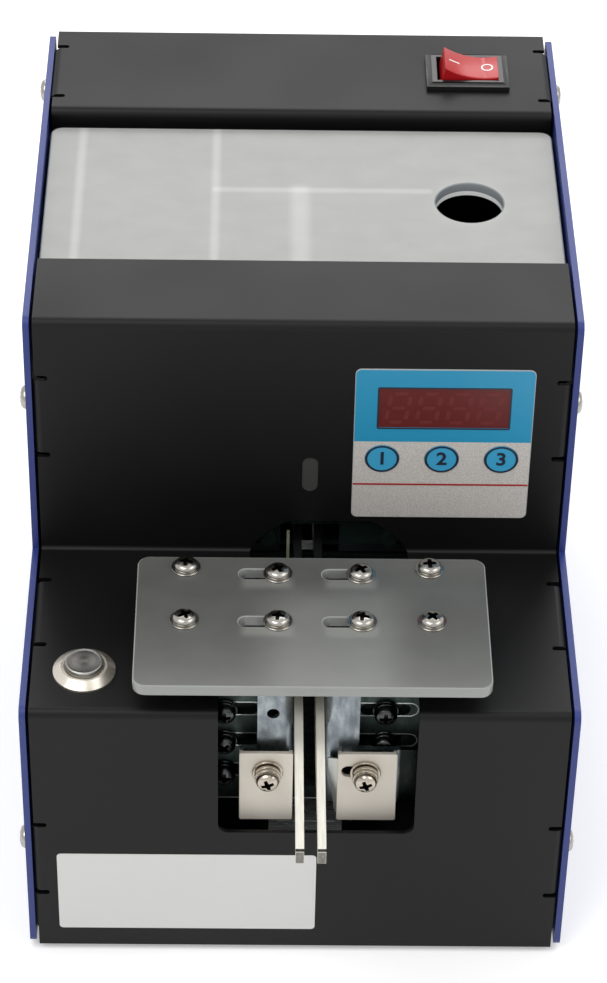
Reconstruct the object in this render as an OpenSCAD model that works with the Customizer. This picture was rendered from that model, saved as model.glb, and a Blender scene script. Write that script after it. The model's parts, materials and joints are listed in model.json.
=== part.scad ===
// Automatic screw feeder: a bench-top hopper whose swinging blade lifts loose screws onto two
// parallel rails, which carry them, hanging by their heads, out to the pick-up tips at the front.
// Millimetres. X to the right, Y to the rear, Z up. Origin: centre of the footprint, on the table.

/* [Housing] */
// Width over the two side plates
body_w = 130; // [126:0.5:140]
// Depth of the side plates, front edge to rear edge
body_d = 182.6; // [178:0.2:200]
// Height of the side plates
body_h = 147.1; // [140:0.1:160]
// Height of the front shelf
shelf_h = 78.2; // [75:0.1:84]
// Depth of the front shelf, lower front face to upper front face
shelf_d = 58; // [56:0.5:64]
// Thickness of the side plates
side_t = 1.5; // [1:0.1:2]
// Thickness of the folded covers
cover_t = 1; // [0.8:0.1:1.2]
// Outside radius of each fold
bend_r = 2; // [1.6:0.1:3]
// Gap between the edge of a cover and the side plate
cover_gap = 0.75; // [0.3:0.05:1.2]
// How far the rear cover stands proud of the side plates
rear_proud = 0.8; // [0:0.1:1]
// Corner radius of the side plates
plate_r = 2.5; // [1:0.5:5]
// How far the feet stand below the side plates
foot_drop = 2; // [1:0.5:6]
// Diameter of a foot
foot_d = 12; // [8:1:16]

/* [Top of the housing] */
// Depth of the flat that the front cover has on top
top_front_d = 24.8; // [20:0.2:28]
// Depth of the rear cover's flat on top
strip_d = 38.2; // [36:0.1:42]
// Depth of the lip on the rear cover's front edge
strip_lip = 12; // [8:0.5:14]
// Thickness of the lid
lid_t = 3.5; // [2:0.5:5]
// How far the lid lies below the top of the side plates
lid_drop = 2.9; // [1:0.1:4]
// Gap between the lid and the front cover
lid_front_gap = 0.6; // [0.4:0.1:2]
// Gap between the lid and the rear cover's lip
lid_rear_gap = 2.2; // [1:0.1:6]
// Gap between the lid and each side plate
lid_side_gap = 0.8; // [0.4:0.1:2]
// Diameter of the finger hole in the lid
finger_d = 16.6; // [14:0.1:20]
// Finger hole, distance right of the middle
finger_x = 40.8; // [38:0.1:44]
// Finger hole, distance behind the lower front face
finger_y = 111.7; // [104:0.1:122]

/* [Front window] */
// Left edge of the window, from the middle
win_left = 19; // [17:0.5:22]
// Right edge of the window, from the middle
win_right = 27.6; // [27:0.1:27.8]
// Height of the window's lower edge
win_z = 39.3; // [38:0.1:44]
// Corner radius of the window
win_r = 2.5; // [1:0.5:4]
// Height of the arch above the shelf
arch_h = 9.4; // [9:0.1:12]
// Radius of the arch
arch_r = 21.6; // [21.2:0.1:22]

/* [Rails] */
// Gap between the two rails
rail_gap = 3; // [2:0.1:4]
// Thickness of a rail
rail_t = 1.9; // [1.5:0.1:2.5]
// Height of a rail inside the housing
rail_h = 12; // [10:0.5:13]
// Middle of the rail gap, right of the middle of the housing
rail_x = 2.15; // [1:0.05:3]
// How far the rail tips stand in front of the lower front face
nose_reach = 43.3; // [30:0.1:60]
// Height of a rail at its tip
nose_h = 4; // [3:0.1:6]
// Travel of the left rail in its slots
left_travel = 3; // [1:0.5:4]
// Travel of the right rail in its slots
right_travel = 4; // [1:0.5:5]

/* [Guide plate] */
// Width of the guide plate
guide_w = 82.6; // [76:0.2:90]
// Depth of the guide plate
guide_d = 45; // [42:0.5:50]
// Thickness of the guide plate
guide_t = 3; // [2:0.5:5]
// Height of the spacers under the guide plate
spacer_h = 8; // [7:0.5:12]
// Middle of the guide plate, right of the middle of the housing
guide_x = 2.7; // [1:0.1:4]
// Front edge of the guide plate, in front of the lower front face
guide_reach = 2.5; // [-2:0.1:6]
// Distance between the two rows of screws in the guide plate
guide_rows = 18.7; // [14:0.1:22]
// Travel of a head guide in its slots
guide_travel = 7.5; // [4:0.5:8]

/* [Controls] */
// Width of the display panel
panel_w = 42.3; // [40:0.1:46]
// Height of the display panel
panel_h = 45; // [43:0.5:48]
// Middle of the display panel, right of the middle of the housing
panel_x = 33.5; // [31:0.5:36]
// Lower edge of the display panel, above the shelf
panel_rise = 11.1; // [11:0.1:13]
// Diameter of a round key
key_d = 8; // [6:0.1:9]
// Distance between neighbouring keys
key_pitch = 14.2; // [12:0.1:15]
// Travel of a key
key_travel = 0.5; // [0.2:0.1:0.6]
// Length of the power switch's bezel
switch_l = 21; // [20:0.5:24]
// Width of the power switch's bezel
switch_w = 15; // [14:0.5:17]
// Tilt of the rocker to each side, degrees
rocker_tilt = 11; // [8:1:13]
// Diameter of the push button's flange
button_d = 14.7; // [13:0.1:17]
// Diameter of the push button's cap
cap_d = 9; // [7:0.1:10]
// Travel of the push button
button_travel = 1.5; // [1:0.1:2]

/* [Hopper] */
// Inner width of the hopper
hopper_w = 52; // [46:1:54]
// Inner depth of the hopper
hopper_d = 44.5; // [44:0.5:46]
// Left wall of the hopper, left of the middle of the housing
hopper_left = 21; // [19:0.5:22]
// Length of the lifting blade behind its pivot
blade_l = 35; // [30:0.5:35.5]
// Depth of the groove in the blade
groove_h = 12; // [8:0.5:12.5]
// Angle of the resting blade below the rails, degrees
blade_rest = 30; // [24:1:32]
// Radius of the brush roller
brush_r = 10.5; // [9:0.5:10.5]
// Gear module of the brush drive
gear_m = 0.8; // [0.6:0.1:0.8]
// Teeth on the brush roller's gear
gear_teeth = 24; // [20:1:26]
// Teeth on the brush motor's pinion
pinion_teeth = 12; // [10:1:14]

/* [Fits] */
// Radius of the small screws
screw_r = 1.5; // [1:0.1:1.5]
// Radial clearance of a screw in its hole
hole_gap = 0.2; // [0.1:0.05:0.3]
// Radial clearance of a shaft in its bush
run_gap = 0.05; // [0.02:0.01:0.1]
// Gap beside a piece that slides or swings
slide_gap = 0.4; // [0.3:0.05:0.5]

/* [Hidden] */

$fn = 48;
eps = 0.01;

// housing, worked out from the driving sizes; y runs from the lower front face, z from the plates' foot
inner_w = body_w - 2 * side_t;
cover_w = inner_w - 2 * cover_gap;
rear_face = body_d + rear_proud;
top_face = body_h + rear_proud;
upper_back = shelf_d + cover_t;
nut_t = 2;
inlet_flange = 1.6;
frame_y = (rear_face + inlet_flange - nose_reach) / 2;
tab_l = 21.6;
tab_depth = 12;
tab_relief = 1.4;
tab_notch = 2.4;
tab_screw = 7.6;
low_tab = 19;
shelf_tab = 24;
upper_tab = 30;
strip_tab = 7.2;
strip_screw = 13.2;
rear_tab_low = 20;
rear_tab_high = 92;
base_t = 1.2;
base_lift = 1;
base_top = base_lift + base_t;
base_flange = 13;
base_screw_z = base_lift + 8;
base_screws = [0.25 * body_d, 0.77 * body_d];
foot_in = 16;
foot_stem = 2.5;

arch_x = 7.2;
arch_flat = 19.25;

// lid
lid_top = body_h - lid_drop;
lid_low = lid_top - lid_t;
lid_front = shelf_d + top_front_d + lid_front_gap;
strip_front = rear_face - strip_d;
lid_back = strip_front - lid_rear_gap;
lid_w = inner_w - 2 * lid_side_gap;
lid_r = 3;
bumper_h = 1.5;
bumper_r = 2.5;
ledge_t = 1.2;
ledge_top = lid_low - bumper_h;
ledge_w = 8;
ledge_l = 8;
ledge_rows = [lid_front + 14.5, lid_back - 12];

// rails and the pieces that hold them
rail_top = shelf_h;
rail_low = rail_top - rail_h;
rail_in = rail_gap / 2;
rail_out = rail_in + rail_t;
cap_front = 5;
cap_t = 1;
cap_depth = 3;
cap_top = 60.3;
cap_low = 38.7;
cap_left = [rail_out + 0.1, rail_out + 12.8];
cap_right = [rail_out + 3.65, rail_out + 17.75];
cap_travel = 5;
ring_t = 0.7;
clamp_rings = [3.2, 2.8, 3];
cap_r = 1.8;
holder_front = cap_front + cap_depth;
holder_t = 1.2;
holder_w = 7.4;
holder_r = 2.4;
holder_low = 42;
holder_top = rail_top - 1.2;
holder_back = 56;
plate_front = holder_front + 5;
carrier_t = 1.5;
leaf_front = plate_front + carrier_t;
slot_z = [67.7, 57.7, 47.7];
slot_h = 2 * (screw_r + slide_gap);
slot_left_x = 19.8;
slot_right_x = 18.2;
leaf_margin = 4;
peg_z = 70.8;
peg_r = 1.5;
carrier_low = 38;
carrier_back = 56;
carrier_w = 57;
lug_h = 8;
spring_front = 20;
spring_rear = 50;
spring_t = 0.5;
spring_w = 18;
block_w = 24;
block_h = 10;
core_w = 14;
core_l = 16;
core_y = (spring_front + spring_rear + spring_t) / 2;
air_gap = 1.2;
notch_left = rail_out + holder_t + left_travel + slide_gap;
notch_right = rail_out + holder_t + right_travel + slide_gap;
clamp_z = 52.4;
clamp_left_x = 10;
clamp_right_x = 14.2;

// guide plate
guide_low = shelf_h + spacer_h;
guide_top = guide_low + guide_t;
guide_front = -guide_reach;
guide_row_back = guide_front + guide_d - 3.9;
head_row_back = guide_row_back - 2.1;
head_row_front = head_row_back - 16.8;
guide_row_front = guide_row_back - guide_rows;
spacer_x = [-27.1, 30.7];
head_x = [-5.3, 14.4];
head_guide_w = 6;
head_guide_l = 28;
head_room = 1.8;
head_guide_low = rail_top + head_room;

// display panel
panel_z = shelf_h + panel_rise;
panel_t = 0.3;
panel_r = 1.5;
window_w = 30.8;
window_h = 11.7;
window_z = panel_z + 33.6;
key_z = panel_z + 18.3;
key_gap = 0.3;
key_proud = 0.25;
board_y = upper_back + 6.5;
board_t = 1.6;
post_in = 3.2;
peep_x = 2.25;
peep_z = shelf_h + 23.8;
peep_w = 4;
peep_h = 10.5;

// power switch and push button
switch_x = body_w / 2 - 22.8;
switch_y = rear_face - 20.2;
bezel_t = 2;
rocker_l = 14.6;
rocker_w = 10;
rocker_drop = 1.2;
wing_h = 4.6;
hollow_r = 18.2;
hollow_z = 21.4;
case_in = 1.2;
case_h = 14;
terminal_l = 7;
button_x = 14.6 - body_w / 2;
button_y = 14;
thread_r = 6;
flange_t = 2;
cap_proud = 3.4;

// hopper
wall_t = 1.5;
hopper_right = hopper_w - hopper_left;
hopper_reach = 57;
hopper_back = shelf_d + hopper_reach;
hopper_front = hopper_back - hopper_d;
hopper_top = lid_low - 1;
front_wall = hopper_front - wall_t;
deck_drop = 8.2;
deck_run = 11.5;
vee_drop = 23;
deck_z = rail_top - deck_drop;
deck_back = hopper_front + deck_run;
vee_z = rail_top - vee_drop;
vee_rise = 13;
pivot_drop = groove_h + 4;
pivot_y = hopper_front + 4.5;
pivot_z = rail_top - pivot_drop;
blade_nose = 2.5;
blade_h = pivot_drop + 4;
blade_w = rail_gap + 2 * rail_t;
blade_gap = 2.2;
rail_back = pivot_y - blade_nose - blade_gap;
shaft_r = 3;
bush_wall = 1.5;
exit_h = 6.8;
exit_left = rail_x - rail_out - left_travel - slide_gap;
exit_w = rail_x + rail_out + right_travel + slide_gap - exit_left;
blade_slot = blade_w + 2 * slide_gap;
brush_y = pivot_y + 9;
brush_z = rail_top + head_room + brush_r;
brush_shaft_r = 2.5;
brush_core_r = 5;
brush_w = 30;
brush_rows = 14;
gear_w = 3;
gear_x = -hopper_left - wall_t - bush_wall - slide_gap - gear_w;
mesh_gap = 0.2;
mesh_y = brush_y + gear_m * (gear_teeth + pinion_teeth) / 2 + mesh_gap;
gearbox_w = 24;
gearbox_l = 30;
gearbox_h = 30;
gearbox_y = pivot_y - 13;
motor_r = 12;
motor_l = 32;
micro_l = 17;
micro_w = 12;
micro_h = 10;
bay_wall_x = ledge_w + 0.8 - inner_w / 2;
cheek_foot = 9;
ctrl_w = 25;
ctrl_x = inner_w / 2 - ctrl_w - 2.5;
ctrl_y = 84;
ctrl_l = 60;
ctrl_lift = 5;
inlet_x = 23 - body_w / 2;
inlet_z = 22;
inlet_r = 4;
guard_t = 2;
guard_back = front_wall - 7;
guard_post = 14.7;
guard_w = 42;
guard_h = 11;
guard_screw_z = shelf_h + 2.6;

// Puts a piece, drawn from the lower front edge of the housing, into the model's frame.
module in_frame() translate([0, -frame_y, foot_drop]) children();

// Extrudes a Y-Z outline along X, centred on x.
module along_x(w, x = 0) translate([x, 0, 0]) rotate([90, 0, 90]) linear_extrude(w, center = true)
  children();

// Extrudes an X-Z outline along Y, from y0 to y1.
module along_y(y0, y1) translate([0, y1, 0]) rotate([90, 0, 0]) linear_extrude(y1 - y0) children();

// Rectangle with round corners, its lower left corner at the origin.
module round_rect(w, h, r) {
  translate([r, 0]) square([w - 2 * r, h]);
  translate([0, r]) square([w, h - 2 * r]);
  for (x = [r, w - r], y = [r, h - r]) translate([x, y]) circle(r);
}

// Slot with round ends between x0 and x1, along X.
module slot_2d(x0, x1, h) {
  if (x1 - x0 > h) translate([x0 + h / 2, -h / 2]) square([x1 - x0 - h, h]);
  for (x = [x0 + h / 2, x1 - h / 2]) translate([x, 0]) circle(h / 2);
}

// Outline of a folded sheet. Each leg is [length to the sharp outer corner, turn], with the turn
// -90 to the right, 90 to the left or 0 at the end. The walk starts upwards on the outer face,
// and the sheet lies to its right.
module folded_sheet(legs, t, r, i = 0, start = 0) {
  turn = legs[i][1];
  run = legs[i][0];
  setback = turn < 0 ? r : turn > 0 ? r - t : 0;
  translate([0, start]) square([t, run - start - setback]);
  if (turn < 0) translate([r, run - r]) intersection() {
    fold_ring(t, r);
    translate([-r, 0]) square(r);
  }
  if (turn > 0) translate([-setback, run - setback]) intersection() {
    fold_ring(t, r);
    square(r);
  }
  if (i < len(legs) - 1) translate([0, run]) rotate(turn) folded_sheet(legs, t, r, i + 1, setback);
}

module fold_ring(t, r) difference() {
  circle(r);
  circle(r - t);
}

// Side tabs of a cover. The flat lies in the local plane z = 0, facing up, and its edge runs along y.
module at_tabs(y, z, tilt, start) translate([0, y, z]) rotate([tilt, 0, 0])
  for (side = [0, 1]) mirror([side, 0, 0]) translate([cover_w / 2, start, 0]) children();

// What a tab takes out of the flat: the fold's width, and a relief notch at each end.
module tab_cut() {
  translate([cover_gap - bend_r, 0, -cover_t - eps]) cube([bend_r, tab_l, cover_t + 2 * eps]);
  for (y = [-tab_relief, tab_l]) {
    translate([-tab_notch, y, -cover_t - eps]) cube([tab_notch + 1, tab_relief, cover_t + 2 * eps]);
    translate([-tab_notch, y + tab_relief / 2, -cover_t - eps])
      cylinder(r = tab_relief / 2, h = cover_t + 2 * eps, $fn = 24);
  }
}

// A tab folded down against the side plate, with a tapped hole at this distance along it, if any.
module tab(hole_at) difference() {
  union() {
    translate([cover_gap - bend_r, tab_l, -bend_r]) rotate([90, 0, 0]) linear_extrude(tab_l)
      intersection() {
        fold_ring(cover_t, bend_r);
        square(bend_r);
      }
    translate([cover_gap - cover_t, 0, -tab_depth]) cube([cover_t, tab_l, tab_depth - bend_r]);
  }
  if (hole_at > 0) translate([0, hole_at, -tab_screw]) rotate([0, 90, 0])
    cylinder(r = screw_r, h = 9, center = true);
}

// Pan-head screw along -Z, its head standing on z = 0, with a cross recess.
module pan_screw(l, head_r = 2.9, head_h = 2.2) {
  difference() {
    rotate_extrude() {
      square([head_r, head_h * 0.4]);
      intersection() {
        translate([0, head_h - head_r * 1.6]) circle(head_r * 1.6);
        square([head_r * 0.9, head_h]);
      }
    }
    for (a = [0, 90]) rotate(a) translate([-head_r * 0.55, -0.35, head_h - 1]) cube([head_r * 1.1, 0.7, 2]);
  }
  translate([0, 0, -l]) cylinder(r = screw_r, h = l + eps);
}

module washer(r, h) difference() {
  cylinder(r = r, h = h);
  translate([0, 0, -eps]) cylinder(r = screw_r + hole_gap, h = h + 2 * eps);
}

// Places of the screws through each side plate, as [y, z].
side_spots = [[tab_screw, low_tab + tab_l / 2], [shelf_d + tab_screw, shelf_h + upper_tab + tab_l / 2],
  [strip_front + strip_tab + strip_screw, top_face - tab_screw],
  [rear_face - tab_screw, rear_tab_low + tab_l / 2], [rear_face - tab_screw, rear_tab_high + tab_l / 2],
  [base_screws[0], base_screw_z], [base_screws[1], base_screw_z]];

// ---- housing ----

module side_plate() difference() {
  translate([-body_w / 2 + side_t / 2, 0, 0]) along_x(side_t) union() {
    round_rect(body_d, shelf_h, plate_r);
    translate([shelf_d, shelf_h - 20]) round_rect(body_d - shelf_d, body_h - shelf_h + 20, plate_r);
  }
  for (p = side_spots) translate([-body_w / 2, p[0], p[1]]) rotate([0, 90, 0])
    cylinder(r = screw_r + hole_gap, h = 4 * side_t, center = true);
}

module side_plate_left() color("#4e5a8c") in_frame() side_plate();

module side_plate_right() color("#4e5a8c") in_frame() mirror([1, 0, 0]) side_plate();

module arch_outline() intersection() {
  translate([arch_x, shelf_h + arch_h - arch_flat]) circle(arch_r);
  translate([-40, shelf_h - 2 * cover_t]) square([90, arch_h + 2 * cover_t]);
}

module front_cover() color("#2b2b2b") in_frame() {
  difference() {
    along_x(cover_w) folded_sheet([[shelf_h, -90], [shelf_d, 90], [body_h - shelf_h, -90],
      [top_front_d, 0]],
      cover_t, bend_r);
    along_y(-1, bend_r + 1) translate([-win_left, win_z])
      round_rect(win_left + win_right, shelf_h, win_r);
    translate([-win_left, -1, win_z + win_r]) cube([win_left + win_right, shelf_d - 9, shelf_h]);
    along_y(shelf_d - 12, upper_back + 1) arch_outline();
    at_tabs(0, 0, 90, low_tab) tab_cut();
    at_tabs(0, shelf_h, 0, shelf_tab) tab_cut();
    at_tabs(shelf_d, shelf_h, 90, upper_tab) tab_cut();
    along_y(shelf_d - 1, upper_back + 1) {
      translate([panel_x - window_w / 2 - 0.3, window_z - window_h / 2 - 0.3])
        square([window_w + 0.6, window_h + 0.6]);
      for (i = [-1, 0, 1]) translate([panel_x + i * key_pitch, key_z]) circle(key_d / 2 + key_gap);
      translate([peep_x, peep_z]) rotate(90) slot_2d(-peep_h / 2, peep_h / 2, peep_w);
    }
    translate([button_x, button_y, shelf_h - 2]) cylinder(r = thread_r + hole_gap, h = 4);
    at_spacers() translate([0, 0, shelf_h - 2]) cylinder(r = screw_r + hole_gap, h = 4);
  }
  at_tabs(0, 0, 90, low_tab) tab(tab_l / 2);
  at_tabs(0, shelf_h, 0, shelf_tab) tab(0);
  at_tabs(shelf_d, shelf_h, 90, upper_tab) tab(tab_l / 2);
}

module rear_cover() color("#2b2b2b") in_frame() {
  difference() {
    along_x(cover_w) translate([strip_front, top_face - strip_lip])
      folded_sheet([[strip_lip, -90], [strip_d, -90], [top_face, -90], [10, 0]], cover_t, bend_r);
    at_tabs(strip_front, top_face, 0, strip_tab) tab_cut();
    at_tabs(rear_face, rear_tab_low + tab_l, -90, 0) tab_cut();
    at_tabs(rear_face, rear_tab_high + tab_l, -90, 0) tab_cut();
    translate([switch_x - switch_l / 2 + 1, switch_y - switch_w / 2 + 1, top_face - 2])
      cube([switch_l - 2, switch_w - 2, 4]);
    translate([inlet_x, rear_face, inlet_z]) rotate([90, 0, 0])
      cylinder(r = inlet_r + hole_gap, h = 4, center = true);
  }
  at_tabs(strip_front, top_face, 0, strip_tab) tab(strip_screw);
  at_tabs(rear_face, rear_tab_low + tab_l, -90, 0) tab(tab_l / 2);
  at_tabs(rear_face, rear_tab_high + tab_l, -90, 0) tab(tab_l / 2);
}

module cover_screws() color("silver") in_frame() for (side = [0, 1]) mirror([side, 0, 0])
  for (p = side_spots) translate([-body_w / 2, p[0], p[1]]) rotate([0, -90, 0])
    pan_screw(side_t + cover_t + 1.5);

module base_plate() color("#3a3c3e") in_frame() difference() {
  along_y(2 * bend_r, body_d - 2 * bend_r) translate([inner_w / 2, base_lift + base_flange]) rotate(180)
    folded_sheet([[base_flange, -90], [inner_w, -90], [base_flange, 0]], base_t, bend_r);
  for (y = base_screws, side = [-1, 1]) translate([side * inner_w / 2, y, base_screw_z])
    rotate([0, 90, 0]) cylinder(r = screw_r, h = 6, center = true);
  at_feet() cylinder(r = foot_stem + hole_gap, h = 6, center = true);
}

module at_feet() for (x = [-1, 1] * (inner_w / 2 - foot_in), y = [foot_in, body_d - foot_in])
  translate([x, y, base_lift]) children();

module rubber_feet() color("#1c1c1c") in_frame() at_feet() rotate_extrude() {
  translate([0, -foot_drop - base_lift]) square([foot_d / 2 - 0.8, foot_drop + base_lift]);
  translate([0, 0.8 - foot_drop - base_lift]) square([foot_d / 2, foot_drop + base_lift - 0.8]);
  square([foot_stem, base_t + 1.2]);
  translate([0, base_t]) square([foot_stem + 1.2, 1.2]);
}

// ---- lid ----

module lid() color([0.85, 0.87, 0.86, 0.6]) in_frame() difference() {
  translate([-lid_w / 2, lid_front, lid_low]) linear_extrude(lid_t)
    round_rect(lid_w, lid_back - lid_front, lid_r);
  translate([finger_x, finger_y, lid_low - 1]) cylinder(r = finger_d / 2, h = lid_t + 2);
}

module at_ledges() for (side = [0, 1], y = ledge_rows) mirror([side, 0, 0])
  translate([-inner_w / 2, y, 0]) children();

module lid_ledges() color("silver") in_frame() at_ledges() along_y(-ledge_l / 2, ledge_l / 2)
  translate([0, ledge_top - ledge_w]) folded_sheet([[ledge_w, -90], [ledge_w, 0]], ledge_t, bend_r);

module lid_bumpers() color("ivory") in_frame() at_ledges() translate([ledge_w - bumper_r - 0.5, 0, ledge_top])
  cylinder(r = bumper_r, h = bumper_h);

// ---- display panel, keys, power switch and push button ----

module display_panel() color("#2391b9") in_frame() along_y(shelf_d - panel_t, shelf_d) difference() {
  translate([panel_x - panel_w / 2, panel_z]) round_rect(panel_w, panel_h, panel_r);
  translate([panel_x - window_w / 2, window_z - window_h / 2]) square([window_w, window_h]);
  for (i = [-1, 0, 1]) translate([panel_x + i * key_pitch, key_z]) circle(key_d / 2 + key_gap);
}

module display_window() color("#5a1418") in_frame() {
  along_y(shelf_d - panel_t, upper_back + eps) translate([panel_x - window_w / 2, window_z - window_h / 2])
    square([window_w, window_h]);
  along_y(upper_back, upper_back + 1)
    translate([panel_x - window_w / 2 - 0.6, window_z - window_h / 2 - 0.6])
    square([window_w + 1.2, window_h + 1.2]);
}

module key(i) color("#2f9bc4") in_frame() translate([panel_x + (i - 1) * key_pitch, 0, key_z]) rotate([-90, 0, 0]) {
  translate([0, 0, shelf_d - panel_t - key_proud])
    cylinder(r = key_d / 2, h = cover_t + panel_t + key_proud + eps);
  translate([0, 0, upper_back]) cylinder(r = key_d / 2 + 1, h = 0.8);
}

module key_1() key(0);

module key_2() key(1);

module key_3() key(2);

module at_posts() for (x = [panel_x - panel_w / 2 + post_in, panel_x + panel_w / 2 - post_in],
    z = [panel_z + post_in, panel_z + panel_h - post_in])
  translate([x, 0, z]) rotate([-90, 0, 0]) children();

module display_board() color("#1f5a34") in_frame() {
  difference() {
    along_y(board_y, board_y + board_t) translate([panel_x - panel_w / 2 + 0.5, panel_z + 0.5])
      square([panel_w - 1, panel_h - 1]);
    at_posts() translate([0, 0, board_y - 1]) cylinder(r = screw_r + hole_gap, h = 4);
  }
  along_y(upper_back + 1, board_y + eps) translate([panel_x - 15.1, window_z - 5.6]) square([30.2, 11.2]);
  for (i = [-1, 0, 1]) translate([panel_x + i * key_pitch, 0, key_z]) {
    translate([-3, upper_back + 3.4, -3]) cube([6, board_y - upper_back - 3.4 + eps, 6]);
    translate([0, upper_back + 0.8 + key_travel + 0.1, 0]) rotate([-90, 0, 0]) cylinder(r = 1.7, h = 3);
  }
}

module display_posts() color("silver") in_frame() at_posts() {
  translate([0, 0, upper_back]) cylinder(r = 2.2, h = board_y - upper_back);
  translate([0, 0, board_y - eps]) cylinder(r = screw_r, h = board_t + 2 * eps);
  translate([0, 0, board_y + board_t]) cylinder(r = 2.75, h = 1.6);
}

module peep_window() color("#3a3f42") in_frame() {
  along_y(shelf_d + 0.2, upper_back + eps) translate([peep_x, peep_z]) rotate(90)
    slot_2d(0.1 - peep_h / 2, peep_h / 2 - 0.1, peep_w - 0.2);
  along_y(upper_back, upper_back + 1.2) translate([peep_x, peep_z]) rotate(90)
    slot_2d(-peep_h / 2 - 1.5, peep_h / 2 + 1.5, peep_w + 3);
}

module switch_housing() color("#161616") in_frame() translate([switch_x, switch_y, top_face]) difference() {
  union() {
    translate([-switch_l / 2, -switch_w / 2, 0]) cube([switch_l, switch_w, bezel_t * 0.5]);
    translate([0.5 - switch_l / 2, 0.5 - switch_w / 2, 0]) cube([switch_l - 1, switch_w - 1, bezel_t]);
    translate([case_in - switch_l / 2, case_in - switch_w / 2, -case_h])
      cube([switch_l - 2 * case_in, switch_w - 2 * case_in, case_h + eps]);
    for (x = [-6, 0]) translate([x - 0.4, -2.4, -case_h - terminal_l]) cube([0.8, 4.8, terminal_l + eps]);
  }
  translate([-rocker_l / 2 - slide_gap, -rocker_w / 2 - slide_gap, -7])
    cube([rocker_l + 2 * slide_gap, rocker_w + 2 * slide_gap, 12]);
  translate([0, 0, -rocker_drop]) rotate([90, 0, 0])
    cylinder(r = 1 + run_gap, h = rocker_w + 2, center = true);
}

// The rocker's outline: two wings that rise from a hollow in the middle, on a round belly.
module rocker_outline() difference() {
  union() {
    intersection() {
      circle(rocker_l / 2 - 0.3);
      translate([-rocker_l, -3]) square([2 * rocker_l, 3 + eps]);
    }
    polygon([[-rocker_l / 2 + 0.3, 0], [rocker_l / 2 - 0.3, 0], [rocker_l / 2 - 0.6, wing_h],
      [-rocker_l / 2 + 0.6, wing_h]]);
  }
  translate([0, hollow_z]) circle(hollow_r, $fn = 96);
}

module switch_rocker() color("#c81f24") in_frame() translate([switch_x, switch_y, top_face - rocker_drop])
  rotate([0, rocker_tilt, 0]) {
    along_y(-rocker_w / 2, rocker_w / 2) rocker_outline();
    rotate([90, 0, 0]) cylinder(r = 1, h = rocker_w + 1.8, center = true);
  }

module button_housing() color("silver") in_frame() translate([button_x, button_y, shelf_h]) difference() {
  union() {
    cylinder(r = button_d / 2, h = flange_t * 0.6);
    translate([0, 0, flange_t * 0.6 - eps]) cylinder(r = button_d / 2 - 0.7, h = flange_t * 0.4 + eps);
    translate([0, 0, -18]) cylinder(r = thread_r, h = 18 + eps);
  }
  translate([0, 0, -5]) cylinder(r = cap_d / 2 + run_gap, h = 10);
}

module button_nut() color("silver") in_frame() translate([button_x, button_y, shelf_h - cover_t - nut_t - 1])
  difference() {
    cylinder(r = 8, h = nut_t + 1, $fn = 6);
    translate([0, 0, -1]) cylinder(r = thread_r + eps, h = nut_t + 3);
  }

module button_cap() color("gainsboro") in_frame() translate([button_x, button_y, shelf_h]) {
  translate([0, 0, button_travel - 4.8]) cylinder(r = cap_d / 2, h = cap_proud - button_travel + 4.8 - 0.4);
  translate([0, 0, cap_proud - 0.4 - eps]) cylinder(r = cap_d / 2 - 0.4, h = 0.4 + eps);
}

// ---- guide plate ----

module at_spacers() for (x = spacer_x, y = [guide_row_front, guide_row_back]) translate([x, y, 0])
  children();

module at_head_screws(columns) for (x = columns, y = [head_row_front, head_row_back]) translate([x, y, 0])
  children();

module guide_spacers() color("silver") in_frame() at_spacers() translate([0, 0, shelf_h]) difference() {
  union() {
    cylinder(r = 2.75 / cos(30), h = spacer_h, $fn = 6);
    translate([0, 0, -cover_t - nut_t]) cylinder(r = screw_r, h = cover_t + nut_t + eps);
    translate([0, 0, -cover_t - nut_t]) cylinder(r = 2.75 / cos(30), h = nut_t, $fn = 6);
  }
  translate([0, 0, spacer_h - 5]) cylinder(r = screw_r, h = 6);
}

module guide_plate() color([0.8, 0.84, 0.82, 0.6]) in_frame() difference() {
  translate([guide_x - guide_w / 2, guide_front, guide_low]) linear_extrude(guide_t)
    round_rect(guide_w, guide_d, 3);
  at_spacers() translate([0, 0, guide_low - 1]) cylinder(r = screw_r + hole_gap, h = guide_t + 2);
  at_head_screws(head_x) translate([0, 0, guide_low - 1]) linear_extrude(guide_t + 2)
    slot_2d(-guide_travel - screw_r - slide_gap, screw_r + slide_gap, 2 * (screw_r + slide_gap));
}

module guide_screws() color("silver") in_frame() at_spacers() translate([0, 0, guide_top])
  pan_screw(guide_t + 4, 3.4);

// A strip under the guide plate that keeps the screws' heads in line, with its two screws.
module head_guide(x) in_frame() {
  translate([x - head_guide_w / 2, head_row_back + 4 - head_guide_l, head_guide_low])
    cube([head_guide_w, head_guide_l, guide_low - head_guide_low]);
  at_head_screws([x]) translate([0, 0, guide_top]) pan_screw(guide_t + 1, 3.4);
}

module head_guide_left() color("gray") head_guide(head_x[0]);

module head_guide_right() color("gray") head_guide(head_x[1]);

// ---- rails ----

module rail_outline() polygon([[-nose_reach, rail_top - 0.5], [0.5 - nose_reach, rail_top],
  [rail_back, rail_top],
  [rail_back, rail_low], [0, rail_low], [10 - nose_reach, rail_top - nose_h],
    [-nose_reach, rail_top - nose_h]]);

module rail() color("gainsboro") translate([-rail_in - rail_t / 2, 0, 0]) along_x(rail_t) rail_outline();

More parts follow.
